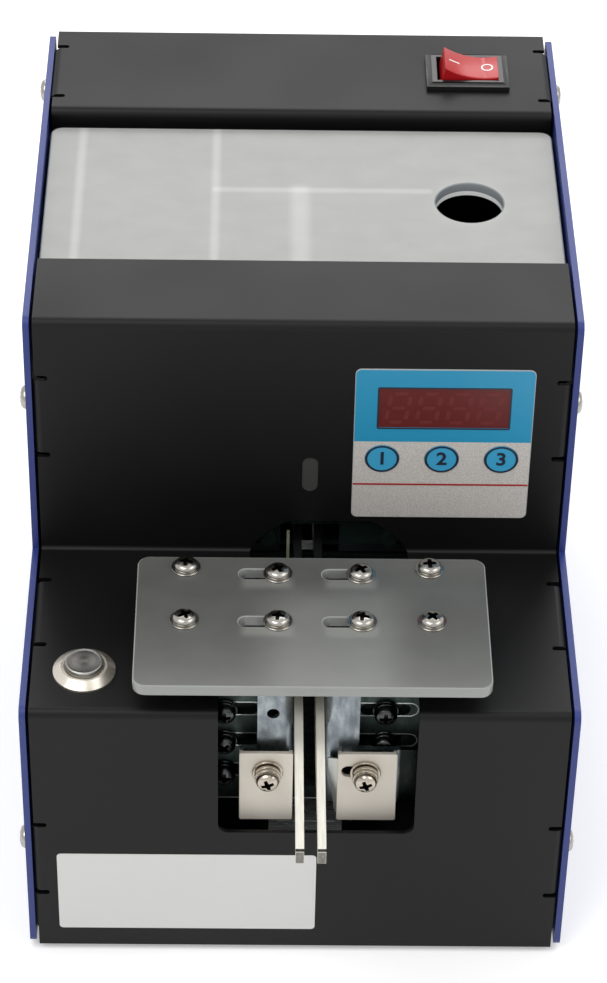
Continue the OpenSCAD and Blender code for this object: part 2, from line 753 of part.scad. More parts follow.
// Folded bracket on the left rail, seen from the rail's middle line: a face in front that is wider
// behind the cap, a long wing on the rail, and a leaf that the slot screws clamp to the carrier.
module rail_holder(screw_x, cap_edge, cap_screw, peg) color("#8d949a") difference() {
  union() {
    translate([-rail_out - holder_t - holder_w, holder_front, holder_low])
      linear_extrude(holder_top - holder_low) rotate(-90) mirror([1, 0])
        folded_sheet([[holder_w + holder_t, -90],
          [leaf_front + holder_t - holder_front, 0]], holder_t, holder_r);
    translate([-cap_edge, holder_front, holder_low])
      cube([cap_edge - rail_out - holder_r, holder_t, cap_top - cap_t - holder_low]);
    translate([-rail_out - holder_t, holder_front + holder_r, rail_low])
      cube([holder_t, holder_back - holder_front - holder_r, holder_top - rail_low]);
    translate([-screw_x - leaf_margin, leaf_front, holder_low])
      cube([screw_x + leaf_margin - rail_out, holder_t, slot_z[0] + leaf_margin - holder_low]);
  }
  for (z = slot_z) translate([-screw_x, leaf_front, z]) rotate([90, 0, 0])
    cylinder(r = screw_r, h = 4 * holder_t, center = true);
  translate([-cap_screw, holder_front, clamp_z]) rotate([90, 0, 0])
    cylinder(r = screw_r, h = 4 * holder_t, center = true);
  if (peg) translate([-rail_out - holder_t - holder_w / 2, holder_front, peg_z]) rotate([90, 0, 0])
    cylinder(r = peg_r, h = 4 * holder_t, center = true);
}

// Nickel-plated cap over the holder's face: a flat front, a folded top and two folded sides.
// The screw's slot runs from the screw towards the rail.
module clamp_cap(edge_in, edge_out, screw_x, slot_l) color("lightgray") difference() {
  union() {
    translate([-edge_out, cap_front + cap_depth, cap_low]) linear_extrude(cap_top - cap_low) rotate(180)
      mirror([1, 0]) folded_sheet([[cap_depth, -90], [edge_out - edge_in, -90],
        [cap_depth, 0]], cap_t, cap_r);
    translate([cap_r - edge_out, cap_front, cap_top - cap_t])
      cube([edge_out - edge_in - 2 * cap_r, cap_depth, cap_t]);
  }
  along_y(cap_front - 1, cap_front + cap_depth) translate([-screw_x, clamp_z])
    slot_2d(-screw_r - slide_gap, slot_l + screw_r + slide_gap, 2 * (screw_r + slide_gap));
}

// Screw of a clamp cap, with a flat and two spring washers under its head.
module clamp_screw(x) color("silver") translate([-x, cap_front, clamp_z]) rotate([90, 0, 0]) {
  for (i = [0 : len(clamp_rings) - 1]) translate([0, 0, i * ring_t]) washer(clamp_rings[i], ring_t);
  translate([0, 0, len(clamp_rings) * ring_t])
    pan_screw(len(clamp_rings) * ring_t + cap_depth + holder_t + 1, 2.5, 2);
}

module slot_screws(x) color("#202020") for (z = slot_z) translate([-x, plate_front, z]) rotate([90, 0, 0]) {
  washer(3.1, ring_t);
  translate([0, 0, ring_t]) pan_screw(ring_t + carrier_t + holder_t + 1.5, 2.75);
}

module on_left() in_frame() translate([rail_x, 0, 0]) children();

module on_right() in_frame() translate([rail_x, 0, 0]) mirror([1, 0, 0]) children();

module rail_left() on_left() rail();

module rail_right() on_right() rail();

module rail_holder_left() on_left() rail_holder(slot_left_x, cap_left[1], clamp_left_x, true);

module rail_holder_right() on_right()
  rail_holder(slot_right_x, cap_right[1] + cap_travel, clamp_right_x, false);

module clamp_cap_left() on_left() clamp_cap(cap_left[0], cap_left[1], clamp_left_x, 0);

module clamp_cap_right() on_right() clamp_cap(cap_right[0], cap_right[1], clamp_right_x, cap_travel);

module clamp_screw_left() on_left() clamp_screw(clamp_left_x);

module clamp_screw_right() on_right() clamp_screw(clamp_right_x);

module slot_screws_left() on_left() slot_screws(slot_left_x);

module slot_screws_right() on_right() slot_screws(slot_right_x);

// Upright plate with the adjusting slots, and the table that the leaf springs carry.
module rail_carrier() color("#4a5350") in_frame() difference() {
  union() {
    translate([rail_x - carrier_w / 2, plate_front, carrier_low])
      cube([carrier_w, carrier_t, shelf_h - cover_t - 0.7 - carrier_low]);
    translate([rail_x - carrier_w / 2, plate_front, carrier_low])
      cube([carrier_w, carrier_back - plate_front, carrier_t]);
    for (y = [spring_front, spring_rear])
      translate([rail_x - spring_w / 2, y + spring_t, carrier_low - lug_h])
      cube([spring_w, 2, lug_h + eps]);
  }
  along_y(plate_front - 1, leaf_front + 1) {
    translate([rail_x - notch_left, carrier_low + 4]) square([notch_left + notch_right, shelf_h]);
    for (z = slot_z) translate([rail_x, z]) {
      slot_2d(-slot_left_x - left_travel - screw_r - slide_gap, -slot_left_x + 8, slot_h);
      slot_2d(slot_right_x - 6, slot_right_x + right_travel + screw_r + slide_gap, slot_h);
    }
  }
}

module leaf_springs() color("silver") in_frame() for (y = [spring_front, spring_rear])
  translate([rail_x - spring_w / 2, y, base_top + 2])
    cube([spring_w, spring_t, carrier_low - base_top - 3]);

module spring_block() color("#5c6064") in_frame() {
  translate([rail_x - block_w / 2, spring_front + spring_t, base_top])
    cube([block_w, spring_rear - spring_front - spring_t, block_h]);
  translate([rail_x - block_w / 2, spring_rear + spring_t, base_top]) cube([block_w, 8, block_h]);
}

// Laminated core on the block, and the armature under the carrier, with the air gap between them.
module vibrator_core() color("gray") in_frame() {
  translate([rail_x - core_w / 2, core_y - core_l / 2, base_top + block_h])
    cube([core_w, core_l, carrier_low - 2 - air_gap - base_top - block_h]);
  translate([rail_x - core_w / 2, core_y - core_l / 2, carrier_low - 2]) cube([core_w, core_l, 2]);
}

module vibrator_coil() color("#a8642a") in_frame() translate([rail_x, core_y, base_top + block_h + 3]) difference() {
  translate([-core_w / 2 - 4, -core_l / 2 - 4, 0]) cube([core_w + 8, core_l + 8, 12]);
  translate([-core_w / 2, -core_l / 2, -1]) cube([core_w, core_l, 14]);
}

// ---- hopper ----

// Upright plate beside the hopper, folded to the left at its foot.
module frame_cheek(x0, back) color("#6d757a") in_frame() difference() {
  union() {
    translate([x0, front_wall, base_top]) cube([wall_t, back - front_wall, hopper_top - base_top]);
    translate([x0 - cheek_foot, front_wall, base_top]) cube([cheek_foot + eps, back - front_wall, wall_t]);
  }
  translate([x0, pivot_y, pivot_z]) rotate([0, 90, 0])
    cylinder(r = shaft_r + bush_wall, h = 9, center = true);
  translate([x0, brush_y, brush_z]) rotate([0, 90, 0])
    cylinder(r = brush_shaft_r + bush_wall, h = 9, center = true);
}

module frame_cheek_left() frame_cheek(-hopper_left - wall_t, lid_back - 1);

// Sheet beside the drive, folded to the right at its foot.
module bay_wall() color("#6d757a") in_frame() translate([bay_wall_x, gearbox_y + gearbox_l, base_top]) {
  cube([wall_t, lid_back - 1 - gearbox_y - gearbox_l, hopper_top - base_top]);
  cube([cheek_foot, lid_back - 1 - gearbox_y - gearbox_l, wall_t]);
}

module frame_cheek_right() frame_cheek(hopper_right, hopper_back + wall_t);

// One side of the sloping floor, from a wall down to the blade's slot.
module floor_side(wall_x, slot_x) {
  d = slot_x > wall_x ? 1 : -1;
  polygon([[wall_x, vee_z + vee_rise], [slot_x, vee_z], [slot_x, vee_z - 4],
    [slot_x - d * wall_t, vee_z - 4],
    [slot_x - d * wall_t, vee_z - 1.2], [wall_x, vee_z + vee_rise - 1.6]]);
}

module hopper() color("#33373a") in_frame() difference() {
  union() {
    translate([-hopper_left, front_wall, deck_z - wall_t])
      cube([hopper_w, wall_t, hopper_top - deck_z + wall_t]);
    translate([-hopper_left, front_wall, deck_z - wall_t]) cube([hopper_w, deck_back - front_wall, wall_t]);
    translate([-hopper_left, deck_back - wall_t, vee_z - 4]) cube([hopper_w, wall_t, deck_z - vee_z + 4]);
    along_y(deck_back - eps, hopper_back + eps) {
      floor_side(-hopper_left, rail_x - blade_slot / 2);
      floor_side(hopper_right, rail_x + blade_slot / 2);
    }
    translate([-hopper_left, hopper_back, vee_z - 4]) cube([hopper_w, wall_t, hopper_top - vee_z + 4]);
    for (x = [-1, 1] * guard_post) translate([x + arch_x, guard_back, guard_screw_z]) rotate([-90, 0, 0])
      cylinder(r = 2.5, h = front_wall - guard_back + eps);
  }
  translate([exit_left, front_wall - 1, rail_low - 1]) cube([exit_w, wall_t + 2, rail_h + 1 + exit_h]);
  translate([rail_x - blade_slot / 2, front_wall - 1, vee_z - 9])
    cube([blade_slot, hopper_back - front_wall - 1, deck_z - vee_z + 10]);
}

// Clear guard behind the arch, with a mouth over the rails.
module exit_guard() color([0.2, 0.45, 0.4, 0.5]) in_frame() {
  difference() {
    along_y(guard_back - guard_t, guard_back) translate([arch_x - guard_w / 2, shelf_h + slide_gap])
      round_rect(guard_w, guard_h, 2);
    translate([exit_left, guard_back - guard_t - 1, shelf_h - 1]) cube([exit_w, guard_t + 2, exit_h + 1]);
    for (x = [-1, 1] * guard_post) translate([x + arch_x, guard_back - guard_t - 1, guard_screw_z])
      rotate([-90, 0, 0])
      cylinder(r = 1, h = guard_t + 2);
  }
  for (x = [-1, 1] * guard_post) translate([x + arch_x, guard_back - guard_t, guard_screw_z])
    rotate([90, 0, 0]) {
    cylinder(r = 1.9, h = 1.2);
    translate([0, 0, -guard_t]) cylinder(r = 1, h = guard_t + eps);
  }
}

module bush(x, y, z, r, out) translate([x, y, z]) rotate([0, 90, 0]) difference() {
  union() {
    cylinder(r = r + bush_wall, h = wall_t);
    translate([0, 0, out > 0 ? wall_t : -bush_wall]) cylinder(r = r + 2 * bush_wall, h = bush_wall);
  }
  translate([0, 0, -9]) cylinder(r = r + run_gap, h = 20);
}

module shaft_bushes() color("#b08d57") in_frame() {
  bush(hopper_right, pivot_y, pivot_z, shaft_r, 1);
  bush(-hopper_left - wall_t, brush_y, brush_z, brush_shaft_r, -1);
  bush(hopper_right, brush_y, brush_z, brush_shaft_r, 1);
}

// Grooved blade, drawn level with the rails around its pivot and laid down to its rest.
module lifting_blade() color("silver") in_frame() translate([rail_x, pivot_y, pivot_z]) rotate([-blade_rest, 0, 0])
  difference() {
    along_x(blade_w) difference() {
      translate([-blade_nose, pivot_drop - blade_h]) round_rect(blade_nose + blade_l, blade_h, 1.5);
      circle(shaft_r);
    }
    translate([-rail_gap / 2, -blade_nose - 1, pivot_drop - groove_h])
      cube([rail_gap, blade_l + blade_nose + 2, groove_h + 1]);
  }

module blade_shaft() color("silver") in_frame() translate([-hopper_left - wall_t - 14, pivot_y, pivot_z]) rotate([0, 90, 0])
  cylinder(r = shaft_r, h = hopper_w + 2 * wall_t + 15.5 + bush_wall);

module lift_gearbox() color("#7b8085") in_frame() difference() {
  translate([-hopper_left - wall_t - gearbox_w, gearbox_y, pivot_z - gearbox_h / 2])
    cube([gearbox_w, gearbox_l, gearbox_h]);
  translate([-hopper_left - wall_t - 15, pivot_y, pivot_z]) rotate([0, 90, 0])
    cylinder(r = shaft_r + run_gap, h = 20);
}

module lift_motor() color("#9aa0a4") in_frame() translate([-hopper_left - wall_t - gearbox_w / 2, gearbox_y + gearbox_l, pivot_z])
  rotate([-90, 0, 0]) {
    cylinder(r = motor_r, h = motor_l);
    translate([0, 0, motor_l - eps]) cylinder(r = 4, h = 2);
    for (a = [0, 180]) rotate(a) translate([7, -1, motor_l - eps]) cube([0.6, 2, 4]);
  }

// ---- brush roller ----

module gear_2d(teeth) {
  pitch_r = gear_m * teeth / 2;
  step = 360 / teeth;
  polygon([for (i = [0 : teeth - 1], p = [[-0.32, -1.15], [-0.11, 0.85], [0.11, 0.85], [0.32, -1.15]])
    (pitch_r + p[1] * gear_m) * [cos((i + p[0]) * step), sin((i + p[0]) * step)]]);
}

module brush_shaft() color("silver") in_frame() translate([gear_x - 1, brush_y, brush_z]) rotate([0, 90, 0])
  cylinder(r = brush_shaft_r, h = hopper_right + wall_t + bush_wall + 1 - gear_x);

module brush_roller() color("#1d1d1d") in_frame() translate([rail_x - brush_w / 2, brush_y, brush_z]) rotate([90, 0, 90])
  linear_extrude(brush_w) difference() {
    polygon([for (i = [0 : brush_rows - 1], p = [[-0.34, brush_core_r], [-0.2, brush_r], [0.2, brush_r],
      [0.34, brush_core_r]])
      p[1] * [cos((i + p[0]) * 360 / brush_rows), sin((i + p[0]) * 360 / brush_rows)]]);
    circle(brush_shaft_r);
  }

module brush_gear() color("ivory") in_frame() translate([gear_x, brush_y, brush_z]) rotate([90, 0, 90])
  linear_extrude(gear_w) difference() {
    gear_2d(gear_teeth);
    circle(brush_shaft_r);
  }

module motor_pinion() color("#b08d57") in_frame() translate([gear_x, mesh_y, brush_z]) rotate([90, 0, 90]) {
  linear_extrude(gear_w) rotate(180 / pinion_teeth + (pinion_teeth % 2) * 180 / pinion_teeth) gear_2d(pinion_teeth);
  translate([0, 0, -4]) cylinder(r = 1.5, h = 4 + eps);
}

module brush_motor() color("#c9b27a") in_frame() translate([gear_x - 1.2 - micro_l, mesh_y, brush_z]) difference() {
  union() {
    translate([0, -micro_w / 2, -micro_h / 2]) cube([micro_l, micro_w, micro_h]);
    translate([micro_l - 1, -micro_w / 2, -micro_h / 2 - 8]) cube([1, micro_w, micro_h + 8]);
    translate([micro_l - 1, -micro_w / 2, -micro_h / 2 - 8])
      cube([-hopper_left - wall_t - gear_x + 2.2, micro_w, 1]);
  }
  translate([micro_l - 5, 0, 0]) rotate([0, 90, 0]) cylinder(r = 1.5 + run_gap, h = 9);
}

// ---- electrics ----

module control_board() color("#1f5a34") in_frame() translate([ctrl_x, ctrl_y, base_top]) {
  translate([0, 0, ctrl_lift]) cube([ctrl_w, ctrl_l, board_t]);
  for (x = [3, ctrl_w - 3], y = [3, ctrl_l - 3]) translate([x, y, 0]) cylinder(r = 2, h = ctrl_lift + eps);
  translate([5, 12, ctrl_lift + board_t - eps]) cube([15, 19, 15]);
  for (y = [38, 50]) translate([9, y, ctrl_lift + board_t - eps]) cylinder(r = 4, h = 11);
}

module dc_inlet() color("#202020") in_frame() translate([inlet_x, rear_face, inlet_z]) rotate([-90, 0, 0]) {
  difference() {
    union() {
      cylinder(r = 5.5, h = inlet_flange);
      translate([0, 0, -14]) cylinder(r = inlet_r, h = 14 + eps);
      translate([0, 0, -cover_t - 2]) cylinder(r = 5.5, h = 2);
    }
    translate([0, 0, -9.5]) cylinder(r = 2.75, h = 20);
  }
  translate([0, 0, -9.5 - eps]) cylinder(r = 1, h = 9);
}

side_plate_left();
side_plate_right();
front_cover();
rear_cover();
cover_screws();
base_plate();
rubber_feet();
lid_ledges();
lid_bumpers();
lid();
display_panel();
display_window();
key_1();
key_2();
key_3();
display_board();
display_posts();
peep_window();
switch_housing();
switch_rocker();
button_housing();
button_nut();
button_cap();
guide_spacers();
guide_plate();
guide_screws();
head_guide_left();
head_guide_right();
rail_left();
rail_right();
rail_holder_left();
rail_holder_right();
clamp_cap_left();
clamp_cap_right();
clamp_screw_left();
clamp_screw_right();
slot_screws_left();
slot_screws_right();
rail_carrier();
leaf_springs();
spring_block();
vibrator_core();
vibrator_coil();
exit_guard();
frame_cheek_left();
frame_cheek_right();
bay_wall();
hopper();
shaft_bushes();
lifting_blade();
blade_shaft();
lift_gearbox();
lift_motor();
brush_shaft();
brush_roller();
brush_gear();
brush_motor();
motor_pinion();
control_board();
dc_inlet();
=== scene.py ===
"""Dresses an automatic screw feeder: finishes on its solids, and the fine pieces they leave out."""
import json
import logging
import math
from dataclasses import dataclass, field
from enum import Enum
from typing import ClassVar

import bmesh
import bpy
from mathutils import Matrix, Vector


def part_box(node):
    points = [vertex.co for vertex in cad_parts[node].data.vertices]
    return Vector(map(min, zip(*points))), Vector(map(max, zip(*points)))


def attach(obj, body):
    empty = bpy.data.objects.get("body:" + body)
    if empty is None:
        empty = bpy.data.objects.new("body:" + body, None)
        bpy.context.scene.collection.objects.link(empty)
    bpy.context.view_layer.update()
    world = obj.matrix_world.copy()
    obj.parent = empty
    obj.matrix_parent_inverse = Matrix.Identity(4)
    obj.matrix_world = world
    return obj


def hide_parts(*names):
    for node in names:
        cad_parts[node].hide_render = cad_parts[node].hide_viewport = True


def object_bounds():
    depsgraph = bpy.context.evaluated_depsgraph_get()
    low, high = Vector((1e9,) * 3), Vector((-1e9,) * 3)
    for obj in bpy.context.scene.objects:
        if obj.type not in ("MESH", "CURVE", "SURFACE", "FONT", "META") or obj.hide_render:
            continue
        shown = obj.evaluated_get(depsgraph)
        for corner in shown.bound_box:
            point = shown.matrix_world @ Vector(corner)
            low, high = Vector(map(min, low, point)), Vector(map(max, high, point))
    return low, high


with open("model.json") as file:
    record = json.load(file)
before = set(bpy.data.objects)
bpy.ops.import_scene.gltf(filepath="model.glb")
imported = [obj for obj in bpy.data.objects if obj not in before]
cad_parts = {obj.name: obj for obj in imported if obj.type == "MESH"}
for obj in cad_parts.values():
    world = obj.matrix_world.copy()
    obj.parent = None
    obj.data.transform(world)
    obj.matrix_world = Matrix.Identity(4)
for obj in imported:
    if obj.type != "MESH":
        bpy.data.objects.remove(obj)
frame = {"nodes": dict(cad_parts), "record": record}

CAD_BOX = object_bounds()
MM = 0.001
log = logging.getLogger("screw_feeder")


# ---- small helpers ----

def linear(colour: str, alpha: float = 1.0) -> tuple[float, float, float, float]:
    """Turn an sRGB hex colour to linear light.

    Args:
        colour: The colour as "#rrggbb".
        alpha: The fourth value.

    Returns:
        Red, green, blue and alpha, linear.
    """
    parts = [int(colour[i:i + 2], 16) / 255 for i in (1, 3, 5)]
    light = [c / 12.92 if c <= 0.04045 else ((c + 0.055) / 1.055) ** 2.4 for c in parts]
    return light[0], light[1], light[2], alpha


def add_node(tree: bpy.types.NodeTree, kind: str, values: dict | None = None, links: dict | None = None,
             **settings) -> bpy.types.Node:
    """Add a node to a material.

    Args:
        tree: The material's node tree.
        kind: The node's type name.
        values: Input socket name or number to its value.
        links: Input socket name or number to the output socket that feeds it.
        **settings: Properties of the node itself.

    Returns:
        The new node.
    """
    node = tree.nodes.new(kind)
    for key, value in settings.items():
        setattr(node, key, value)
    for key, value in (values or {}).items():
        node.inputs[key].default_value = value
    for key, output in (links or {}).items():
        tree.links.new(output, node.inputs[key])
    return node


def per_mm(size: float) -> float:
    """Give the texture scale, on coordinates in metres, whose cells are about this many millimetres."""
    return 1.0 / (size * MM)


# ---- finishes ----

@dataclass(frozen=True)
class Finish:
    """A surface finish, made once as a material and shared by its pieces."""

    name: str
    colour: str
    roughness: float
    made: ClassVar[dict[str, bpy.types.Material]] = {}

    def material(self) -> bpy.types.Material:
        """Give the finish's material, made the first time it is asked for."""
        if self.name not in Finish.made:
            made = bpy.data.materials.new(self.name)
            made.use_nodes = True
            made.node_tree.nodes.clear()
            shader = add_node(made.node_tree, "ShaderNodeBsdfPrincipled",
                              {"Base Color": linear(self.colour), "Roughness": self.roughness})
            add_node(made.node_tree, "ShaderNodeOutputMaterial", links={"Surface": shader.outputs[0]})
            self.shade(made.node_tree, shader)
            Finish.made[self.name] = made
        return Finish.made[self.name]

    def shade(self, tree: bpy.types.NodeTree, shader: bpy.types.Node) -> None:
        """Add what sets this finish apart to its shader.

        Args:
            tree: The material's node tree.
            shader: The Principled node.
        """

    def grain(self, tree: bpy.types.NodeTree, size: float, stretch: tuple[float, float, float] = (1, 1, 1),
              detail: float = 2.0) -> bpy.types.Node:
        """Make a noise on the object's own coordinates.

        Args:
            tree: The material's node tree.
            size: Size of its cells in millimetres.
            stretch: Factor on the frequency along X, Y and Z.
            detail: Octaves of finer noise.

        Returns:
            The noise node.
        """
        place = add_node(tree, "ShaderNodeTexCoord")
        turn = add_node(tree, "ShaderNodeMapping", {"Scale": stretch}, {"Vector": place.outputs["Object"]})
        return add_node(tree, "ShaderNodeTexNoise", {"Scale": per_mm(size), "Detail": detail},
                        {"Vector": turn.outputs[0]})

    def spread(self, tree: bpy.types.NodeTree, source: bpy.types.NodeSocket, low: float,
               high: float) -> bpy.types.NodeSocket:
        """Map a noise's middle range to low..high.

        Args:
            tree: The material's node tree.
            source: The noise's output.
            low: Value at the noise's dark end.
            high: Value at its bright end.

        Returns:
            The mapped value's output.
        """
        ends = {"From Min": 0.3, "From Max": 0.7, "To Min": low, "To Max": high}
        ranged = add_node(tree, "ShaderNodeMapRange", ends, {"Value": source})
        return ranged.outputs[0]

    def mottle(self, tree: bpy.types.NodeTree, shader: bpy.types.Node, source: bpy.types.NodeSocket,
               other: str, low: float = 0.0, high: float = 1.0) -> None:
        """Blend the base colour with another by a noise.

        Args:
            tree: The material's node tree.
            shader: The Principled node.
            source: The noise's output.
            other: The second colour.
            low: Share of the second colour at the noise's dark end.
            high: Share at its bright end.
        """
        mix = add_node(tree, "ShaderNodeMix", {6: linear(self.colour), 7: linear(other)},
                       {0: self.spread(tree, source, low, high)}, data_type="RGBA")
        tree.links.new(mix.outputs[2], shader.inputs["Base Color"])

    def raise_surface(self, tree: bpy.types.NodeTree, shader: bpy.types.Node, source: bpy.types.NodeSocket,
                      height: float, strength: float = 1.0) -> None:
        """Bump the surface by a noise.

        Args:
            tree: The material's node tree.
            shader: The Principled node.
            source: The noise's output.
            height: Height of the bumps in millimetres.
            strength: How much of the bump shows.
        """
        bump = add_node(tree, "ShaderNodeBump", {"Strength": strength, "Distance": height * MM},
                        {"Height": source})
        tree.links.new(bump.outputs[0], shader.inputs["Normal"])


    def darken_behind(self, tree: bpy.types.NodeTree, shader: bpy.types.Node, start: float, colour: str,
                      axis: str = "Y") -> None:
        """Turn the base colour to another beyond a plane.

        Args:
            tree: The material's node tree.
            shader: The Principled node, its base colour already linked.
            start: Where the plane stands along its axis.
            colour: The colour beyond it.
            axis: The axis that it stands across.
        """
        place = add_node(tree, "ShaderNodeTexCoord")
        axes = add_node(tree, "ShaderNodeSeparateXYZ", links={0: place.outputs["Object"]})
        past = add_node(tree, "ShaderNodeMapRange", {"From Min": start, "From Max": start + 0.8 * MM},
                        {"Value": axes.outputs[axis]})
        before = shader.inputs["Base Color"].links[0].from_socket
        mix = add_node(tree, "ShaderNodeMix", {7: linear(colour)}, {0: past.outputs[0], 6: before},
                       data_type="RGBA")
        tree.links.new(mix.outputs[2], shader.inputs["Base Color"])


@dataclass(frozen=True)
class PowderCoat(Finish):
    """Baked polyester powder on sheet steel: an even satin skin with a fine orange peel."""

    peel: float = 0.9
    depth: float = 0.012
    gloss: float = 0.3

    def shade(self, tree: bpy.types.NodeTree, shader: bpy.types.Node) -> None:
        """Add the peel and a slow change of gloss."""
        shader.inputs["Specular IOR Level"].default_value = self.gloss
        peel = self.grain(tree, self.peel)
        self.raise_surface(tree, shader, peel.outputs[0], self.depth, 0.6)
        cloud = self.grain(tree, 30.0, detail=1.0)
        tree.links.new(self.spread(tree, cloud.outputs[0], self.roughness - 0.03, self.roughness + 0.03),
                       shader.inputs["Roughness"])


@dataclass(frozen=True)
class Plating(Finish):
    """Bright zinc, nickel or chrome plate: a mirror-like skin with faint clouding."""

    cloud: float = 3.0
    metallic: float = 1.0

    def shade(self, tree: bpy.types.NodeTree, shader: bpy.types.Node) -> None:
        """Make it metal and cloud its gloss."""
        shader.inputs["Metallic"].default_value = self.metallic
        noise = self.grain(tree, self.cloud)
        smoothest, roughest = max(self.roughness - 0.04, 0.02), self.roughness + 0.05
        tree.links.new(self.spread(tree, noise.outputs[0], smoothest, roughest),
                       shader.inputs["Roughness"])


@dataclass(frozen=True)
class GroundSteel(Finish):
    """Ground or rolled steel: fine lines along one direction that stretch its highlights."""

    along: tuple[float, float, float] = (1.0, 0.04, 1.0)
    line: float = 0.25
    dark: str = "#6f7272"
    metallic: float = 1.0
    # where the painted shade starts along Y; 1 leaves none
    bright_to: float = 1.0

    def shade(self, tree: bpy.types.NodeTree, shader: bpy.types.Node) -> None:
        """Make it metal, put the grinding lines in its colour, gloss and surface, and past bright_to turn its
        colour near black as painted shade.
        """
        shader.inputs["Metallic"].default_value = self.metallic
        lines = self.grain(tree, self.line, self.along, 3.0)
        self.mottle(tree, shader, lines.outputs[0], self.dark, 0.0, 0.35)
        tree.links.new(self.spread(tree, lines.outputs[0], self.roughness - 0.06, self.roughness + 0.1),
                       shader.inputs["Roughness"])
        self.raise_surface(tree, shader, lines.outputs[0], 0.004, 0.5)
        # painted shade: past bright_to the steel turns near black, where the housing shades it
        if self.bright_to < 1:
            self.darken_behind(tree, shader, self.bright_to, "#141615")


@dataclass(frozen=True)
class ZincSheet(Finish):
    """Electro-galvanised sheet: blue-grey metal with a soft patchwork of lighter and darker zinc."""

    patch: float = 4.0
    other: str = "#6c7479"
    bright_to: float = 1.0

    def shade(self, tree: bpy.types.NodeTree, shader: bpy.types.Node) -> None:
        """Make it metal with patches."""
        shader.inputs["Metallic"].default_value = 1.0
        patches = self.grain(tree, self.patch, (1.0, 1.0, 0.4), 3.0)
        self.mottle(tree, shader, patches.outputs[0], self.other, 0.0, 0.8)
        tree.links.new(self.spread(tree, patches.outputs[0], self.roughness - 0.08, self.roughness + 0.1),
                       shader.inputs["Roughness"])
        # beyond bright_to, and right of the right cap, the colour turns near black
        if self.bright_to < 1:
            self.darken_behind(tree, shader, self.bright_to, "#1d2221")
            self.darken_behind(tree, shader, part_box("clamp_cap_right")[1].x, "#1d2221", "X")


@dataclass(frozen=True)
class Acrylic(Finish):
    """Cast acrylic (PMMA) sheet, polished, tinted or sand-blasted on its faces."""

    clear: float = 0.5
    blast: float = 0.4

    def shade(self, tree: bpy.types.NodeTree, shader: bpy.types.Node) -> None:
        """Let light through and add the blasted grain."""
        shader.inputs["Transmission Weight"].default_value = self.clear
        shader.inputs["IOR"].default_value = 1.49
        grit = self.grain(tree, self.blast)
        self.raise_surface(tree, shader, grit.outputs[0], 0.01, 0.3)


@dataclass(frozen=True)
class FrostedSheet(Acrylic):
    """Frosted acrylic with soft pale bands of painted light, where whatever lies close under it shows
    through.
    """

    bands: tuple[tuple[float, ...], ...] = ()
    pale: str = "#e2e3df"
    share: float = 0.42

    def shade(self, tree: bpy.types.NodeTree, shader: bpy.types.Node) -> None:
        """Paint the pale bands of light and a faint clouding into the colour."""
        super().shade(tree, shader)
        place = add_node(tree, "ShaderNodeTexCoord")
        axes = add_node(tree, "ShaderNodeSeparateXYZ", links={0: place.outputs["Object"]})
        cloud = self.grain(tree, 9.0, (1.0, 1.6, 1.0), 3.0)
        total = self.spread(tree, cloud.outputs[0], 0.0, 0.12)
        for left, right, front, back, soft in self.bands:
            across = self.band(tree, axes.outputs["X"], left, right, soft)
            along = self.band(tree, axes.outputs["Y"], front, back, soft)
            both = add_node(tree, "ShaderNodeMath", links={0: across, 1: along}, operation="MULTIPLY")
            part = add_node(tree, "ShaderNodeMath", {1: self.share}, {0: both.outputs[0]},
                            operation="MULTIPLY")
            total = add_node(tree, "ShaderNodeMath", links={0: total, 1: part.outputs[0]},
                             operation="ADD").outputs[0]
        mix = add_node(tree, "ShaderNodeMix", {6: linear(self.colour), 7: linear(self.pale)}, {0: total},
                       data_type="RGBA")
        tree.links.new(mix.outputs[2], shader.inputs["Base Color"])

    def band(self, tree: bpy.types.NodeTree, source: bpy.types.NodeSocket, start: float, end: float,
             soft: float) -> bpy.types.NodeSocket:
        """Make a soft-edged band along one axis.

        Args:
            tree: The material's node tree.
            source: The coordinate.
            start: Where the band starts.
            end: Where it ends.
            soft: How far it fades past its ends.

        Returns:
            1 inside the band and 0 outside it.
        """
        middle = add_node(tree, "ShaderNodeMath", {1: (start + end) / 2}, {0: source}, operation="SUBTRACT")
        away = add_node(tree, "ShaderNodeMath", links={0: middle.outputs[0]}, operation="ABSOLUTE")
        half = (end - start) / 2
        ends = {"From Min": half, "From Max": half + soft, "To Min": 1.0, "To Max": 0.0}
        faded = add_node(tree, "ShaderNodeMapRange", ends, {"Value": away.outputs[0]},
                         interpolation_type="SMOOTHSTEP")
        return faded.outputs[0]


@dataclass(frozen=True)
class Moulded(Finish):
    """Injection-moulded plastic, such as nylon, ABS or silicone rubber."""

    grain_size: float = 0.6
    depth: float = 0.006
    sheen: float = 0.0

    def shade(self, tree: bpy.types.NodeTree, shader: bpy.types.Node) -> None:
        """Add the mould's fine grain."""
        grain = self.grain(tree, self.grain_size)
        self.raise_surface(tree, shader, grain.outputs[0], self.depth, 0.5)
        shader.inputs["Sheen Weight"].default_value = self.sheen


@dataclass(frozen=True)
class Film(Finish):
    """Polyester film printed on its back: an even colour under a thin satin skin."""

    flake: str = ""

    def shade(self, tree: bpy.types.NodeTree, shader: bpy.types.Node) -> None:
        """Add the skin's faint texture, and the flakes of a metallic ink."""
        skin = self.grain(tree, 0.35)
        if self.flake:
            flakes = self.grain(tree, 0.3, detail=0.0)
            self.mottle(tree, shader, flakes.outputs[0], self.flake, 0.0, 0.7)
        self.raise_surface(tree, shader, skin.outputs[0], 0.003, 0.4)
        shader.inputs["Coat Weight"].default_value = 0.25
        shader.inputs["Coat Roughness"].default_value = 0.25


